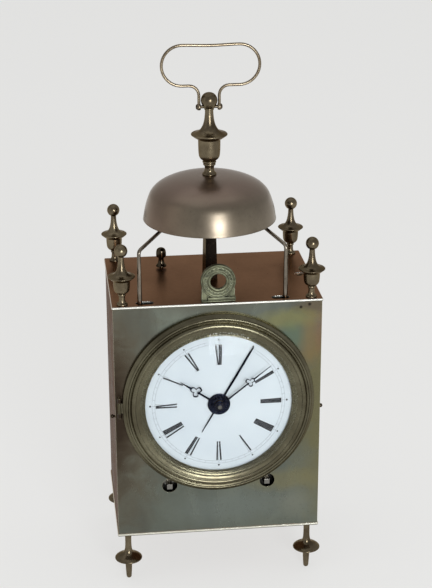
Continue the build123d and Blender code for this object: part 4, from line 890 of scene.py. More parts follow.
print("bell")
bell = {
    "outside": [(7.0, 0.0), (13.0, -0.45), (19.0, -1.5), (24.5, -3.3), (29.0, -5.5), (32.2, -8.0),
                (34.5, -11.0), (36.2, -15.4), (37.5, -20.2), (38.4, -25.4)],
    "lip": [(38.4, -25.4), (38.5, -25.65), (38.3, -25.8), (37.3, -25.8), (37.05, -25.6), (36.95, -25.3)],
    "inside": [(36.95, -25.3), (36.1, -20.4), (34.8, -15.8), (33.1, -11.7), (30.9, -9.1),
               (28.1, -6.8), (24.0, -4.8), (18.7, -3.0), (12.8, -1.95), (7.0, -1.5)],
    "bore": 2.45,
    "wall": 1.5,
}
bellHead = bell["outside"][0][0]
bellRuns = [
    [(bell["bore"], 0), (bellHead, 0)],
    bell["outside"], bell["lip"], bell["inside"],
    *straightRuns([(bellHead, -bell["wall"]), (bell["bore"], -bell["wall"]), (bell["bore"], 0)]),
]
bellPiece = latheOf("bell_cast", bellRuns, bellCentre, steps=160, edge=0.12, closed=True)
fit(bellPiece, bellBronze, "bell_bronze", "case", "bell")

softened("bell_post", 0.3, postIron, "post_iron")

# finial that holds the bell, heights above the bell
bellFinial = {
    "base": [(4.0, 0.0), (4.1, 0.5), (3.9, 1.0)],
    "waist": [(3.9, 1.0), (3.2, 1.6), (2.75, 2.9), (2.7, 4.3), (2.95, 5.6)],
    "bead": [(2.95, 5.6), (3.5, 5.8), (3.6, 6.3), (3.45, 6.8), (3.1, 7.0)],
    "secondBead": [(3.1, 7.0), (3.8, 7.2), (3.95, 7.7), (3.75, 8.2), (3.3, 8.5)],
    "cup": [(3.3, 8.5), (4.7, 9.2), (5.8, 10.7), (6.2, 13.2), (6.35, 17.0), (6.4, 20.9)],
    "under": [(6.4, 20.9), (8.2, 21.9), (10.1, 23.3)],
    "lip": [(10.1, 23.3), (10.4, 23.55), (10.42, 23.95), (10.1, 24.3)],
    "trumpet": [(10.1, 24.3), (7.6, 24.9), (5.5, 26.2), (3.9, 28.6), (2.95, 31.6), (2.5, 35.0),
                (2.35, 38.2)],
    "neckRing": [(2.35, 38.0), (2.72, 38.15), (2.78, 38.5), (2.6, 38.8)],
    "ball": [(2.6, 38.8), (3.0, 39.2), (3.9, 40.6), (4.55, 42.2), (4.72, 43.4), (4.5, 44.8), (3.8, 46.2),
             (2.7, 47.25), (1.4, 47.8), (0, 47.9)],
}
runs = [[(0, 0), bellFinial["base"][0]], *bellFinial.values()]
finialHoles = {"pin": 0.95, "pinReach": 8, "tommy": 0.45, "tommyDepth": 3, "tommyAt": (-1.8, 3.2)}
topFinial = latheOf("bell_finial_turned", runs, bellCentre, steps=96)
mesh = bmesh.new()
rodInto(
    mesh, pivotCentre, finialHoles["pin"],
    -finialHoles["pinReach"], finialHoles["pinReach"], facing="right", steps=32, edge=0.01,
)
cutAway(topFinial, finishMesh("pin_cutter", mesh))
mesh = bmesh.new()
inward, above = finialHoles["tommyAt"]
rodInto(
    mesh, (0, clock["midY"] + inward, clock["bellTop"] + above), finialHoles["tommy"],
    0, finialHoles["tommyDepth"], facing="front", steps=20, edge=0.01,
)
cutAway(topFinial, finishMesh("tommy_cutter", mesh))
keepCrisp(topFinial, 50)
fit(topFinial, turnedBrass, "turned_brass", "case", "bell_finial")

handle = {
    "wire": 0.85,
    "riserX": 5.8,
    "riserFoot": 1.2,
    "riserTop": 4,
    "bend": 5.6,
    "neckZ": 290.7,
    "lobe": 11.5,
    "left": 15.2,
    "right": 17.2,
    "dip": 0.45,
    "eyeOuter": 2.0,
    "eyeHole": 0.95,
    "eyeHalf": 1.0,
}


def arcPoints(centre, radius, start, end, steps):
    line = []
    for step in range(steps + 1):
        turn = math.radians(start + (end - start) * step / steps)
        line.append((centre[0] + radius * math.cos(turn), centre[1] + radius * math.sin(turn)))
    return line


def handlePath():
    lobeZ = handle["neckZ"] + handle["lobe"]
    bendX = handle["riserX"] + handle["bend"]
    bendZ = handle["neckZ"] - handle["bend"]
    riser = [(handle["riserX"], clock["pivotZ"] + handle[end]) for end in ("riserTop", "riserFoot")]
    line = [(-x, z) for x, z in riser[::-1]]
    line += arcPoints((-bendX, bendZ), handle["bend"], 0, 90, 6)
    line += arcPoints((-handle["left"], lobeZ), handle["lobe"], 270, 90, 22)
    span = handle["left"] + handle["right"]
    for step in range(1, 10):
        share = step / 10
        line.append((
            -handle["left"] + span * share,
            lobeZ + handle["lobe"] - handle["dip"] * math.sin(math.pi * share) ** 2,
        ))
    line += arcPoints((handle["right"], lobeZ), handle["lobe"], 90, -90, 22)
    line += arcPoints((bendX, bendZ), handle["bend"], 90, 180, 6)
    return [(x, clock["midY"], z) for x, z in line + riser]


mesh = bmesh.new()
tubeInto(mesh, handlePath(), handle["wire"], 24)
hole, outer, half = handle["eyeHole"], handle["eyeOuter"], handle["eyeHalf"]
shoulder = outer - 0.25
for side in (-1, 1):
    latheInto(
        mesh,
        [
            [(hole, -half), (shoulder, -half)],
            [(shoulder, -half), (outer, 0), (shoulder, half)],
            *straightRuns([(shoulder, half), (hole, half), (hole, -half)]),
        ],
        (side * handle["riserX"], clock["midY"], clock["pivotZ"]),
        facing="right", steps=40, closed=True,
    )
fit(finishMesh("handle_bent", mesh), wireSteel, "wire_steel", "handle", "handle")

handlePin = {"radius": 0.9, "head": 1.5, "seat": 6.85, "headHeight": 0.8}
mesh = bmesh.new()
seat, headTop = handlePin["seat"], handlePin["seat"] + handlePin["headHeight"]
pin, head = handlePin["radius"], handlePin["head"]
latheInto(
    mesh,
    [
        [(0, -headTop), (0.7, -headTop + 0.08), (1.3, -headTop + 0.35), (head, -seat)],
        *straightRuns([(head, -seat), (pin, -seat), (pin, seat), (head, seat)]),
        [(head, seat), (1.3, headTop - 0.35), (0.7, headTop - 0.08), (0, headTop)],
    ],
    pivotCentre, facing="right", steps=36, edge=0.08,
)
fit(finishMesh("handle_pin_turned", mesh), knobBrass, "arbor_steel", "case", "handle_pin")
print("handle")

# crest, repeat knob and hammers

crest = {
    "x": 0.4, "y": -34.4, "z": 187.7,
    "outer": 9.9, "hole": 4.6, "ringRadius": 7.4, "dimple": 0.7, "dimples": 20,
    "back": 1.2, "front": 1.2,
    "blockWidth": 19.3, "blockDepth": 5.0, "baseHeight": 1.0, "blockHeight": 3.0,
    "webHalf": 9.3, "webGap": 0.6, "webFront": 0.35, "webBack": 0.15, "webFoot": 0.3,
    "pegRadius": 0.7, "pegStep": 2.57, "pegFoot": 0.9, "pegsWidth": 3.6, "crisp": 42,
    # radius and height over the face, from the outer rim over the trough to the hole
    "relief": [
        [(9.9, 0.15), (9.6, 0.4), (9.2, 0.35), (8.9, 0.0)],
        [(8.9, 0.0), (8.3, -0.15), (7.4, -0.05), (6.4, -0.15), (5.9, 0.0)],
        [(5.9, 0.0), (5.6, 0.35), (5.1, 0.4), (4.6, 0.25)],
    ],
    "peg": [
        [(0, 0), (0.7, 0)],
        [(0.7, 0), (0.595, 1.6), (0.7, 2.6)],
        [(0.7, 2.6), (0.63, 3.3), (0.35, 3.65), (0, 3.7)],
    ],
}


def castRound():
    # round plaque with a raised rim, a ring of dimples and a hole
    face, back, hole = crest["front"], -crest["back"], crest["hole"]
    relief = [[(radius, face + height) for radius, height in run] for run in crest["relief"]]
    plaque = latheOf(
        "crest_round",
        [
            *straightRuns([(hole, back), (crest["outer"], back), relief[0][0]]),
            *relief,
            *straightRuns([relief[-1][-1], (hole, face - 0.2), (hole, back)]),
        ],
        (crest["x"], crest["y"], crest["z"]),
        facing="front", steps=96, edge=0.12, closed=True,
    )
    mesh = bmesh.new()
    for step in range(crest["dimples"]):
        turn = 2 * math.pi * (step + 0.5) / crest["dimples"]
        x = crest["x"] + crest["ringRadius"] * math.cos(turn)
        z = crest["z"] + crest["ringRadius"] * math.sin(turn)
        latheInto(
            mesh, [ball(0, crest["dimple"], 0, 180, 8)], (x, crest["y"] - face - 0.2, z),
            facing="front", steps=14, edge=0.01,
        )
    return cutAway(plaque, finishMesh("dimple_cutter", mesh))


def castBlock(left, right, foot):
    # stepped block that the plaque stands on
    front, back = crest["y"] - crest["blockDepth"] / 2, crest["y"] + crest["blockDepth"] / 2
    mesh = bmesh.new()
    boxInto(mesh, (left, front, foot), (right, back, foot + crest["baseHeight"]))
    boxInto(
        mesh,
        (left + crest["pegsWidth"], front, foot + crest["baseHeight"] - 0.02),
        (right, back, foot + crest["blockHeight"]),
    )
    return roundOff(finishMesh("crest_block", mesh, smooth=False), 0.25)


def castWeb(foot):
    # the arched plaque's straight sides, from the round's middle down to the block
    inner, half = crest["hole"] + crest["webGap"], crest["webHalf"]
    front = crest["y"] - crest["front"] + crest["webFront"]
    back = crest["y"] + crest["back"] - crest["webBack"]
    mesh = bmesh.new()
    for low, high, top in (
        (-half, -inner, crest["z"]),
        (inner, half, crest["z"]),
        (-inner - 0.1, inner + 0.1, crest["z"] - inner),
    ):
        boxInto(
            mesh,
            (crest["x"] + low, front, foot + crest["webFoot"]), (crest["x"] + high, back, top),
        )
    return finishMesh("crest_web", mesh, smooth=False)


def castCrest():
    left, right = crest["x"] - crest["blockWidth"] / 2, crest["x"] + crest["blockWidth"] / 2
    foot = clock["plateHigh"]
    mesh = bmesh.new()
    for part in (castRound(), castBlock(left, right, foot), castWeb(foot)):
        mesh.from_mesh(part.data)
        bpy.data.objects.remove(part)
    peg = crest["pegRadius"]
    for step in range(2):
        at = (left + peg * (1 + crest["pegStep"] * step), crest["y"], foot + crest["pegFoot"])
        latheInto(mesh, crest["peg"], at, steps=24, edge=0.05)
    piece = finishMesh("crest_cast", mesh)
    keepCrisp(piece, crest["crisp"])
    fit(piece, crestBrass, "crest_brass", "case", "crest")


castCrest()

# heights above the top plate, from the tail inside the case to the knob's crown
repeatKnob = {
    "at": (-26.9, 24.2, 175.7),
    "shaft": [(0, -17.5), (1.0, -17.5), (1.0, -8.6), (2.2, -8.6), (2.2, -7.5), (1.0, -7.5), (1.0, 1.1),
              (2.9, 1.1)],
    "flare": [(2.9, 1.1), (3.12, 1.3), (3.12, 1.8), (2.9, 2.1)],
    "waist": [(2.9, 2.1), (2.2, 3.0), (1.75, 4.4), (1.62, 5.8), (1.75, 6.7)],
    "under": [(1.75, 6.7), (2.55, 7.05), (2.92, 7.5)],
    "crown": [(2.92, 7.5), (2.98, 8.3), (2.96, 9.6), (2.8, 10.9), (2.3, 11.95), (1.3, 12.65), (0, 12.9)],
}
runs = straightRuns(repeatKnob["shaft"])
runs += [repeatKnob[run] for run in ("flare", "waist", "under", "crown")]
piece = latheOf("repeat_knob_turned", runs, repeatKnob["at"], steps=56, edge=0.1)
fit(piece, knobBrass, "turned_brass", bodyOf("repeat_knob"), "repeat_knob")

# arbor: radius and height out from the front wall, inside the case
hammer = {
    "y": -32.8,
    "pivotZ": 150.0,
    "bendZ": 206.7,
    "bendReach": 2.2,
    "passX": 27.5,
    "passY": -10.3,
    "passZ": 212.4,
    "passReach": 1.8,
    "headZ": 219.5,
    "headLength": 8.0,
    "head": [[(0, 0), (1.6, 0.06), (2.6, 0.3), (3.0, 0.75)], [(3.0, 0.75), (3.0, 7.4)],
             [(3.0, 7.4), (2.6, 7.85), (0, 8.0)]],
    "footRadius": 1.7,
    "topRadius": 1.05,
    "rod": 1.0,
    "arbor": [(0, -12.0), (0.6, -12.0), (0.6, -10.3), (1.0, -10.3), (1.0, -6.5), (3.2, -6.5),
              (3.2, -3.5), (1.0, -3.5), (1.0, -1.2), (0.6, -1.2), (0.6, -0.65), (0, -0.65)],
}


def hammerPath(footX, headX, side):
    # the rod's middle line and its radius along it, from the pivot to the head
    foot = Vector((footX, hammer["y"], hammer["pivotZ"]))
    bend = Vector((footX, hammer["y"], hammer["bendZ"]))
    under = Vector((side * hammer["passX"], hammer["passY"], hammer["passZ"]))
    head = Vector((headX, hammer["passY"], hammer["headZ"]))
    path, radii = [], []

    def straight(start, end, count, first, last):
        for step in range(count):
            share = step / count
            path.append(start.lerp(end, share))
            radii.append(first + (last - first) * share)

    def corner(before, at, after, reach, radius):
        start = at.lerp(before, reach / (at - before).length)
        end = at.lerp(after, reach / (after - at).length)
        for step in range(6):
            t = step / 6
            path.append(start.lerp(at, t).lerp(at.lerp(end, t), t))
            radii.append(radius)
        return end

    top, rod = hammer["topRadius"], hammer["rod"]
    bendReach, passReach = hammer["bendReach"], hammer["passReach"]
    straight(foot, bend.lerp(foot, bendReach / (bend - foot).length), 8, hammer["footRadius"], top)
    start = corner(foot, bend, under, bendReach, top)
    straight(start, under.lerp(bend, passReach / (bend - under).length), 6, top, rod)
    start = corner(bend, under, head, passReach, rod)
    straight(start, head, 3, rod, rod)
    return path + [head], radii + [rod]


def bentHammer(name, node, footX, side):
    low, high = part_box(node)
    length = hammer["headLength"]
    headFace = (low.x if side > 0 else -high.x) / mm + length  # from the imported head's inner end
    path, radii = hammerPath(footX, side * (headFace - length / 2), side)
    mesh = bmesh.new()
    tubeInto(mesh, path, radii, 24)
    latheInto(
        mesh, hammer["head"], (side * headFace, hammer["passY"], hammer["headZ"]),
        facing="left" if side > 0 else "right", steps=40, edge=0.15,
    )
    latheInto(
        mesh, straightRuns(hammer["arbor"]), (footX, clock["frontY"], hammer["pivotZ"]),
        facing="front", steps=36, edge=0.1,
    )
    fit(finishMesh(name, mesh), hammerSteel, "hammer_steel", bodyOf(node), node)


bentHammer("strike_hammer_bent", "strike_hammer", 39.0, 1)
bentHammer("alarm_hammer_bent", "alarm_hammer", -43.8, -1)
print("crest, knob and hammers")

# dial, numerals and hands

dial = {
    "radius": 45.0, "hole": 4.0, "rim": 1.3, "rise": 1.1,
    "print": 0.03, "trackInner": 36.9, "trackOuter": 38.5, "trackLine": 0.05,
    "dotRadius": 39.6, "quarterDot": 0.6, "hourDot": 0.5,
    "numeralLow": 24.2, "numeralHigh": 36.4,
}


def dialHeight(radius):
    return dial["rim"] + dial["rise"] * (1 - (radius / dial["radius"]) ** 2)


radii = [dial["radius"] * step / 16 for step in range(15, 1, -1)] + [dial["hole"]]
dome = [(dial["radius"] - 0.25, dial["rim"])] + [(radius, dialHeight(radius)) for radius in radii]
under, edge = (dial["hole"], 0), (dial["radius"], dial["rim"] - 0.35)
runs = [
    *straightRuns([under, (dial["radius"], 0), edge, dome[0]]),
    dome,
    [dome[-1], under],
]
piece = latheOf("dial_enamelled", runs, dialCentre, facing="front", steps=160, edge=0.2, closed=True)
fit(piece, dialEnamel, "enamel", "case", "dial")


def onDial(angle, across, out, lift):
    # point on the dial: angle of the numeral, place across it and out from the centre
    turn = math.radians(angle)
    x = across * math.cos(turn) + out * math.sin(turn)
    z = -across * math.sin(turn) + out * math.cos(turn)
    radius = math.hypot(x, z)
    return Vector((x, clock["frontY"] - dialHeight(radius) - lift, clock["dialZ"] + z)) * mm


def inkPatch(mesh, angle, low, high, steps=5):
    # flat printed stroke between two edges, each ((across, out), (across, out))
    tops, feet = [], []
    for step in range(steps + 1):
        share = step / steps
        for rows, lift in ((tops, dial["print"]), (feet, -0.05)):
            rows.append([
                mesh.verts.new(onDial(angle, a0 + (a1 - a0) * share, o0 + (o1 - o0) * share, lift))
                for (a0, o0), (a1, o1) in (low, high)
            ])
    for a, b, c, d in zip(tops, tops[1:], feet, feet[1:]):
        mesh.faces.new((a[0], a[1], b[1], b[0]))
        mesh.faces.new((c[0], d[0], d[1], c[1]))
        mesh.faces.new((a[0], b[0], d[0], c[0]))
        mesh.faces.new((a[1], c[1], d[1], b[1]))
    mesh.faces.new((tops[0][0], feet[0][0], feet[0][1], tops[0][1]))
    mesh.faces.new((tops[-1][0], tops[-1][1], feet[-1][1], feet[-1][0]))


def inkBar(mesh, angle, half, low, high, steps):
    # straight stroke across the numeral's line, from one place out to the other
    inkPatch(mesh, angle, ((-half, low), (half, low)), ((-half, high), (half, high)), steps)


numerals = {
    "hours": ["I", "II", "III", "IIII", "V", "VI", "VII", "VIII", "IX", "X", "XI", "XII"],
    "thick": 0.98,
    "thin": 0.12,
    "step": {"I": 1.03, "V": 2.1, "X": 2.0},
    "serif": 0.09,
    "squeeze": 0.82,  # strokes draw together towards the centre
    "taper": 0.8,
    "lean": 0.33,
    "crossing": 0.28,
}


def numeralInto(mesh, text, angle):
    low, high = dial["numeralLow"], dial["numeralHigh"]
    thick, thin, taper = numerals["thick"], numerals["thin"], numerals["taper"]
    total = sum(numerals["step"][sign] for sign in text)
    start = -total / 2

    def bar(topAt, footAt, width):
        foot = width * taper
        inkPatch(
            mesh, angle,
            ((footAt - foot / 2, low), (topAt - width / 2, high)),
            ((footAt + foot / 2, low), (topAt + width / 2, high)),
        )

    for sign in text:
        step = numerals["step"][sign]
        middle = start + step / 2
        foot = middle * numerals["squeeze"]
        lean, crossing = step * numerals["lean"], step * numerals["crossing"]
        if sign == "I":
            bar(middle, foot, thick)
        elif sign == "V":
            bar(middle - lean, foot, thick)
            bar(middle + lean, foot + 0.2, thin)
        else:
            bar(middle - lean, foot + crossing, thick)
            bar(middle + lean, foot - crossing, thin)
        start += step
    serif = numerals["serif"] / 2
    for out, width in ((low, total * taper), (high, total)):
        inkBar(mesh, angle, width / 2, out - serif, out + serif, 5)


mesh = bmesh.new()
for hour, text in enumerate(numerals["hours"], start=1):
    numeralInto(mesh, text, hour * 30)
piece = finishMesh("dial_numerals", mesh, smooth=False)
fit(piece, numeralInk, "enamel", "case")

mesh = bmesh.new()
line = dial["trackLine"]
for radius in (dial["trackInner"], dial["trackOuter"]):
    half = radius * math.tan(math.radians(1.5))
    for turn in range(0, 360, 3):
        inkBar(mesh, turn, half, radius - line, radius + line, 1)
for turn in range(0, 360, 6):
    inkBar(mesh, turn, line, dial["trackInner"], dial["trackOuter"], 1)
piece = finishMesh("dial_minute_track", mesh, smooth=False)
fit(piece, trackInk, "enamel", "case")

mesh = bmesh.new()
for hour in range(12):
    turn = math.radians(hour * 30)
    size = dial["hourDot"] if hour % 3 else dial["quarterDot"]
    at = (
        dial["dotRadius"] * math.sin(turn),
        clock["frontY"] - dialHeight(dial["dotRadius"]) + 0.04,
        clock["dialZ"] + dial["dotRadius"] * math.cos(turn),
    )
    latheInto(
        mesh, straightRuns([(0, 0), (size, 0), (size, 0.06), (0, 0.07)]),
        at, facing="front", steps=16, edge=0.01,
    )
piece = finishMesh("dial_hour_dots", mesh, smooth=False)
fit(piece, numeralInk, "enamel", "case")

# hands; angles run clockwise from twelve, places out from the centre, heights above the front wall
hands = {
    "alarm_hand": {
        "angle": 30.0, "low": 2.7, "high": 3.5, "hub": 6.5, "bore": 3.05,
        "blades": [
            [(6.0, 0.6), (20, 0.66), (31, 0.54), (39.2, 0.32), (39.9, 0.2)],
            [(-6.0, 0.5), (-12, 0.36), (-19.9, 0.16)],
        ],
        "cam": 5.4, "pipe": 3.9, "camLow": -2.4, "camHigh": -1.6, "notch": 1.4,
    },
    "hour_hand": {
        "angle": 304.5, "low": 3.9, "high": 4.5, "hub": 4.3, "bore": 3.0,
        "blades": [
            [(4.0, 0.8), (8, 0.6), (12.5, 0.52), (14.4, 0.6)],
            [(19.4, 0.5), (21.6, 0.55), (23.4, 0.34), (26.9, 0.18)],
        ],
        "cloverAt": 16.2, "clover": (2.85, 1.0, -0.2), "opening": (2.12, 0.95, -0.2),
        "beads": [(14.3, 0.75)],
    },
    "minute_hand": {
        "angle": 51.5, "low": 5.4, "high": 6.0, "hub": 3.1, "bore": 2.2,
        "blades": [
            [(2.9, 0.66), (10, 0.5), (17.6, 0.4), (20.9, 0.38)],
            [(25.4, 0.42), (29, 0.32), (37.4, 0.14)],
        ],
        "cloverAt": 22.7, "clover": (2.3, 0.82, -0.16), "opening": (1.72, 0.76, -0.16),
        "beads": [(18.4, 0.52), (21.0, 0.5)],
    },
}


def handPlace(hand, across, out, lift):
    turn = math.radians(hand["angle"])
    return Vector((
        across * math.cos(turn) + out * math.sin(turn),
        clock["frontY"] - lift,
        clock["dialZ"] - across * math.sin(turn) + out * math.cos(turn),
    )) * mm


def bridge(mesh, loops):
    # joins neighbouring loops of points
    for first, second in zip(loops, loops[1:]):
        for index in range(len(first)):
            following = (index + 1) % len(first)
            mesh.faces.new((first[index], first[following], second[following], second[index]))


def bladeInto(mesh, hand, stations):
    low, high = hand["low"], hand["high"]
    middle = (low + high) / 2
    loops = []
    for out, half in stations:
        section = [(-half, low + 0.1), (-half, middle), (-half * 0.4, high), (half * 0.4, high),
                   (half, middle), (half, low + 0.1), (0, low)]
        loops.append([mesh.verts.new(handPlace(hand, across, out, lift)) for across, lift in section])
    bridge(mesh, loops)
    mesh.faces.new(loops[0])
    mesh.faces.new(loops[-1])


def cloverInto(mesh, hand, steps=96):
    # open clover leaf of three lobes, one of them outwards
    low, high = hand["low"], hand["high"]
    loops = []
    for step in range(steps):
        turn = 2 * math.pi * step / steps
        outer, inner = (
            base + lobe * math.cos(3 * turn) + pinch * math.cos(6 * turn)
            for base, lobe, pinch in (hand["clover"], hand["opening"])
        )
        soft = (outer - inner) * 0.22
        section = [(outer, low), (outer, high - 0.2), (outer - soft, high), (inner + soft, high),
                   (inner, high - 0.2), (inner, low)]
        loops.append([
            mesh.verts.new(handPlace(
                hand, radius * math.sin(turn), hand["cloverAt"] + radius * math.cos(turn), lift
            ))
            for radius, lift in section
        ])
    bridge(mesh, loops + [loops[0]])


def hubRuns(hand):
    low, high, hub, bore = hand["low"], hand["high"], hand["hub"], hand["bore"]
    foot = [(bore, low), (hub, low)]
    if "cam" in hand:
        cam, pipe, camLow, camHigh = hand["cam"], hand["pipe"], hand["camLow"], hand["camHigh"]
        foot = [(bore, camLow), (cam, camLow), (cam, camHigh), (pipe, camHigh), (pipe, low), (hub, low)]
    return [
        *straightRuns(foot + [(hub, high - 0.25)]),
        [(hub, high - 0.25), (hub - 0.12, high - 0.08), (hub - 0.35, high)],
        [(hub - 0.35, high), (hub - 0.8, high)],
        [(hub - 0.8, high), (hub - 0.95, high - 0.14), (bore + 0.2, high - 0.12)],
        *straightRuns([(bore + 0.2, high - 0.12), (bore, high - 0.12), foot[0]]),
    ]


def notchCutter(hand):
    # takes the notch out of the alarm cam
    half, near = hand["notch"] / 2, hand["cam"] - hand["notch"] / 2
    far = hand["cam"] + half + 1
    mesh = bmesh.new()
    closeBox(mesh, [
        mesh.verts.new(handPlace(hand, across, out, lift))
        for lift in (hand["camLow"] - 1, hand["camHigh"] + 0.3)
        for across, out in ((-half, near), (half, near), (half, far), (-half, far))
    ])
    return finishMesh("notch_cutter", mesh, smooth=False)


def filedHand(node):
    hand = hands[node]
    thickness = hand["high"] - hand["low"]
    piece = latheOf(
        f"{node}_filed", hubRuns(hand), dialCentre,
        facing="front", steps=96, edge=0.06, closed=True,
    )
    if "cam" in hand:
        cutAway(piece, notchCutter(hand))
    mesh = bmesh.new()
    mesh.from_mesh(piece.data)
    bpy.data.objects.remove(piece)
    for stations in hand["blades"]:
        bladeInto(mesh, hand, stations)
    for out, size in hand.get("beads", ()):
        latheInto(
            mesh,
            [[(0, 0), (size, 0)], [(size, 0), (size, 0.3), (size * 0.75, 0.5), (0, thickness)]],
            handPlace(hand, 0, out, hand["low"]) / mm, facing="front", steps=24, edge=0.03,
        )
    if "clover" in hand:
        cloverInto(mesh, hand)
    piece = finishMesh(f"{node}_filed", mesh)
    keepCrisp(piece, 48)
    fit(piece, bluedSteel, "blued_steel", bodyOf(node), node)


for node in hands:
    filedHand(node)

collet = {
    "lift": 6.0,
    "outline": [
        [(1.25, 0), (2.1, 0)],
        [(2.1, 0), (2.1, 0.45), (1.85, 0.85), (1.5, 1.0)],
        [(1.5, 1.0), (1.25, 0.9)],
        [(1.25, 0.9), (1.25, 0)],
    ],
}
piece = latheOf(
    "hand_collet_turned", collet["outline"], (0, clock["frontY"] - collet["lift"], clock["dialZ"]),
    facing="front", steps=48, edge=0.06, closed=True,
)
fit(piece, bluedSteel, "blued_steel", bodyOf("hand_collet"), "hand_collet")
print("dial and hands")

# bezel and glass

bezel = {
    "wall": [(55.5, 0.15), (55.5, 2.3)],
    "cove": [(55.5, 2.3), (55.25, 2.75), (54.6, 3.3), (53.9, 3.9), (53.66, 4.25)],
    "ridge": [(53.66, 4.25), (53.5, 4.6), (53.2, 4.84), (52.85, 4.9), (52.5, 4.78), (52.25, 4.5)],
    "groove": [(52.25, 4.5), (51.8, 4.28), (51.3, 4.2)],
    "step": [(51.3, 4.2), (51.05, 4.0), (50.85, 4.15)],
    "crest": [(50.85, 4.15), (50.72, 4.7), (50.3, 5.45), (49.7, 5.95), (48.9, 6.15), (48.2, 5.98)],
    "shoulder": [(48.2, 5.98), (47.95, 5.6), (47.6, 5.5)],
    "flareOuter": [(47.6, 5.5), (46.6, 5.28), (45.62, 4.96)],
    "seat": [(45.62, 4.96), (45.62, 4.65)],
    "ledge": [(45.62, 4.65), (44.9, 4.62)],
    "flareInner": [(44.9, 4.62), (44.2, 4.38), (43.65, 4.05)],
    "lipBead": [(43.65, 4.05), (43.5, 4.22), (43.18, 4.27), (42.85, 4.1), (42.72, 3.8)],
    "innerWall": [(42.72, 3.8), (42.5, 3.35), (42.5, 2.1)],
    "back": [
        (42.5, 2.1), (45.25, 2.1), (45.25, 0.15), (47.0, 0.15), (47.0, 2.4), (52.4, 2.4),
        (52.4, 0.15), (55.5, 0.15),
    ],
}
bezelRuns = [run for name, run in bezel.items() if name != "back"] + straightRuns(bezel["back"])
mesh = bmesh.new()
latheInto(mesh, bezelRuns, dialCentre, facing="front", steps=192, edge=0.12, closed=True)
hinge = {
    "x": -57.1, "y": -39.4, "low": 111.5, "high": 117.5, "outer": 1.2, "hole": 0.65,
    "leafHalf": 0.6, "leafFrom": 0.75, "leafTo": -54.6,
}
outer, hole, height = hinge["outer"], hinge["hole"], hinge["high"] - hinge["low"]
latheInto(
    mesh, straightRuns([(hole, 0), (outer, 0), (outer, height), (hole, height), (hole, 0)]),
    (hinge["x"], hinge["y"], hinge["low"]), steps=32, edge=0.1, closed=True,
)
boxInto(
    mesh,
    (hinge["x"] + hinge["leafFrom"], hinge["y"] - hinge["leafHalf"], hinge["low"]),
    (hinge["leafTo"], hinge["y"] + hinge["leafHalf"], hinge["high"]),
)
bezelPiece = finishMesh("bezel_turned", mesh)
keepCrisp(bezelPiece, 60)
fit(bezelPiece, bezelBrass, "bezel_brass", "bezel", "bezel")

glass = {"radius": 45.5, "seat": 4.67, "edge": 0.3, "backRise": 5.55, "top": 11.4}


def glassDome(low, top):
    rise = top - low
    curve = (glass["radius"] ** 2 + rise**2) / (2 * rise)
    radii = [glass["radius"] * step / 12 for step in range(13)]
    return [(radius, top - curve + math.sqrt(curve**2 - radius**2)) for radius in radii]


frontDome = glassDome(glass["seat"] + glass["edge"], glass["top"])
backDome = glassDome(glass["seat"], glass["seat"] + glass["backRise"])
piece = latheOf(
    "bezel_glass_ground",
    [backDome, [backDome[-1], frontDome[-1]], frontDome[::-1]],
    dialCentre, facing="front", steps=128, edge=0.2,
)
fit(piece, bezelGlass, "clear_glass", "bezel", "bezel_glass")
print("bezel and glass")

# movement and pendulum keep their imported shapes, but the winding squares get rounded edges

movementFinish = {
    "brass": (
        "movement_front_plate", "movement_back_plate", "movement_pillars", "going_barrel",
        "strike_barrel", "minute_wheel", "hour_wheel", "pendulum_cock", "pendulum_bob", "rating_nut",
    ),
    "steel": ("cannon_pinion", "pendulum_rod", "anchor"),
    "springs": ("going_mainspring", "strike_mainspring"),
    "wheels": (
        "second_wheel", "centre_wheel", "third_wheel", "escape_wheel", "strike_pin_wheel", "strike_fly",
    ),
}
for kind, finish in (("brass", movementBrass), ("steel", arborSteel), ("springs", springSteel)):
    for node in movementFinish[kind]:
        dress(node, finish)
for node in movementFinish["wheels"]:
    dress(node, wheelBrass(node))
for node in ("going_winding_arbor", "strike_winding_arbor"):
    softened(node, 0.8, arborSteel, "arbor_steel")
print("movement")

# floor, light and camera

stage = {
    "floorTone": rgb(228, 227, 224),
    "shownTone": rgb(246, 246, 245),
    "shownShare": 0.68,
    "floorSize": 8.0,
    "floorSides": 64,
    "lampAim": (0, 0, 0.15),
    "sky": [(0.5, 0.58), (0.58, 0.54), (0.7, 0.5), (0.85, 0.5), (1.0, 0.5)],
}


def paleFloor():
    mesh = bmesh.new()
    size, sides = stage["floorSize"], stage["floorSides"]
    turns = [2 * math.pi * step / sides for step in range(sides)]
    mesh.faces.new([
        mesh.verts.new((size * math.cos(turn), size * math.sin(turn), 0)) for turn in turns
    ])
    floor = finishMesh("floor", mesh, smooth=False)
    material, tree, shader = blankMaterial("pale floor")
    grain = noise(tree, objectPlace(tree), 3, 2)
    tone = stage["floorTone"]
    softer = tuple(part * 0.985 for part in tone[:3]) + (1,)
    tree.links.new(ramp(tree, grain, [(0.3, softer), (0.7, tone)]), shader.inputs["Base Color"])
    shader.inputs["Roughness"].default_value = 0.9
    shader.inputs["Specular IOR Level"].default_value = 0.1
    # a part of the floor's shown tone is even, and the rest keeps the clock's shadow
    even = addNode(tree, "ShaderNodeEmission", {"Color": stage["shownTone"], "Strength": 1.0})
    path = addNode(tree, "ShaderNodeLightPath")
    seen = calc(tree, "MAXIMUM", path.outputs["Is Camera Ray"], path.outputs["Is Glossy Ray"])
    seen = calc(tree, "MAXIMUM", seen, path.outputs["Is Transmission Ray"])
    share = calc(tree, "MULTIPLY", seen, stage["shownShare"])
    showOnSurface(tree, addNode(tree, "ShaderNodeMixShader", {
        0: share, 1: shader.outputs[0], 2: even.outputs[0]
    }))
    floor.data.materials.append(material)


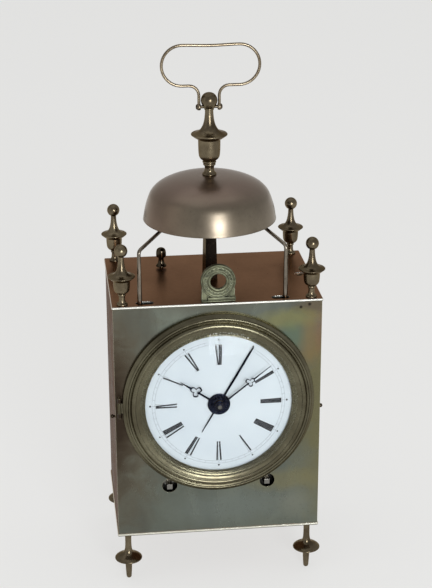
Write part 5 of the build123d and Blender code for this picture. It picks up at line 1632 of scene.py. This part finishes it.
def softSky():
    world = bpy.data.worlds.new("studio")
    bpy.context.scene.world = world
    world.use_nodes = True
    tree = world.node_tree
    tree.nodes.clear()
    output = addNode(tree, "ShaderNodeOutputWorld")
    direction = addNode(tree, "ShaderNodeTexCoord").outputs["Generated"]
    height = addNode(tree, "ShaderNodeSeparateXYZ", {"Vector": direction}).outputs["Z"]
    glow = ramp(tree, spread(tree, height, -1.0, 1.0, 0.0, 1.0), stage["sky"])
    light = addNode(tree, "ShaderNodeBackground", {"Color": glow, "Strength": 1.0})
    tree.links.new(light.outputs[0], output.inputs[0])


# the lamps and the floor are placed in metres
lamps = {
    "window": {"at": (0.26, -1.45, 0.42), "size": (0.45, 0.6), "power": 14.0, "tone": (0.95, 0.98, 1.0)},
    "left": {"at": (-1.2, -0.3, 0.6), "size": (0.6, 0.9), "power": 0.5, "tone": (1.0, 0.97, 0.93)},
    "top": {"at": (-0.1, 0.15, 1.35), "size": (1.4, 1.2), "power": 1.6, "tone": (1, 1, 1)},
}


def softLamp(name, lamp):
    data = bpy.data.lights.new(name, "AREA")
    data.shape = "RECTANGLE"
    data.size, data.size_y = lamp["size"]
    data.energy = lamp["power"]
    data.color = lamp["tone"]
    holder = bpy.data.objects.new(name, data)
    holder.location = lamp["at"]
    aim = Vector(stage["lampAim"]) - Vector(lamp["at"])
    holder.rotation_euler = aim.to_track_quat("-Z", "Y").to_euler()
    bpy.context.scene.collection.objects.link(holder)


paleFloor()
softSky()
for name, lamp in lamps.items():
    softLamp(name, lamp)

camera = {
    "at": (-95.166, -844.977, 491.181),
    "towards": (3.609, 3.7, 165.263),
    "roll": -0.1638,
    "lens": 94.89,
    "sensor": 36,
}
data = bpy.data.cameras.new("camera")
data.lens = camera["lens"]
data.sensor_width = camera["sensor"]
holder = bpy.data.objects.new("camera", data)
aim = Vector(camera["towards"]) - Vector(camera["at"])
turn = aim.to_track_quat("-Z", "Y").to_matrix().to_4x4()
holder.matrix_world = (
    Matrix.Translation(Vector(camera["at"]) * mm) @ turn
    @ Matrix.Rotation(math.radians(camera["roll"]), 4, "Z")
)
bpy.context.scene.collection.objects.link(holder)
bpy.context.scene.camera = holder
bpy.context.scene.view_settings.view_transform = "Standard"
print("stage, lamps and camera")
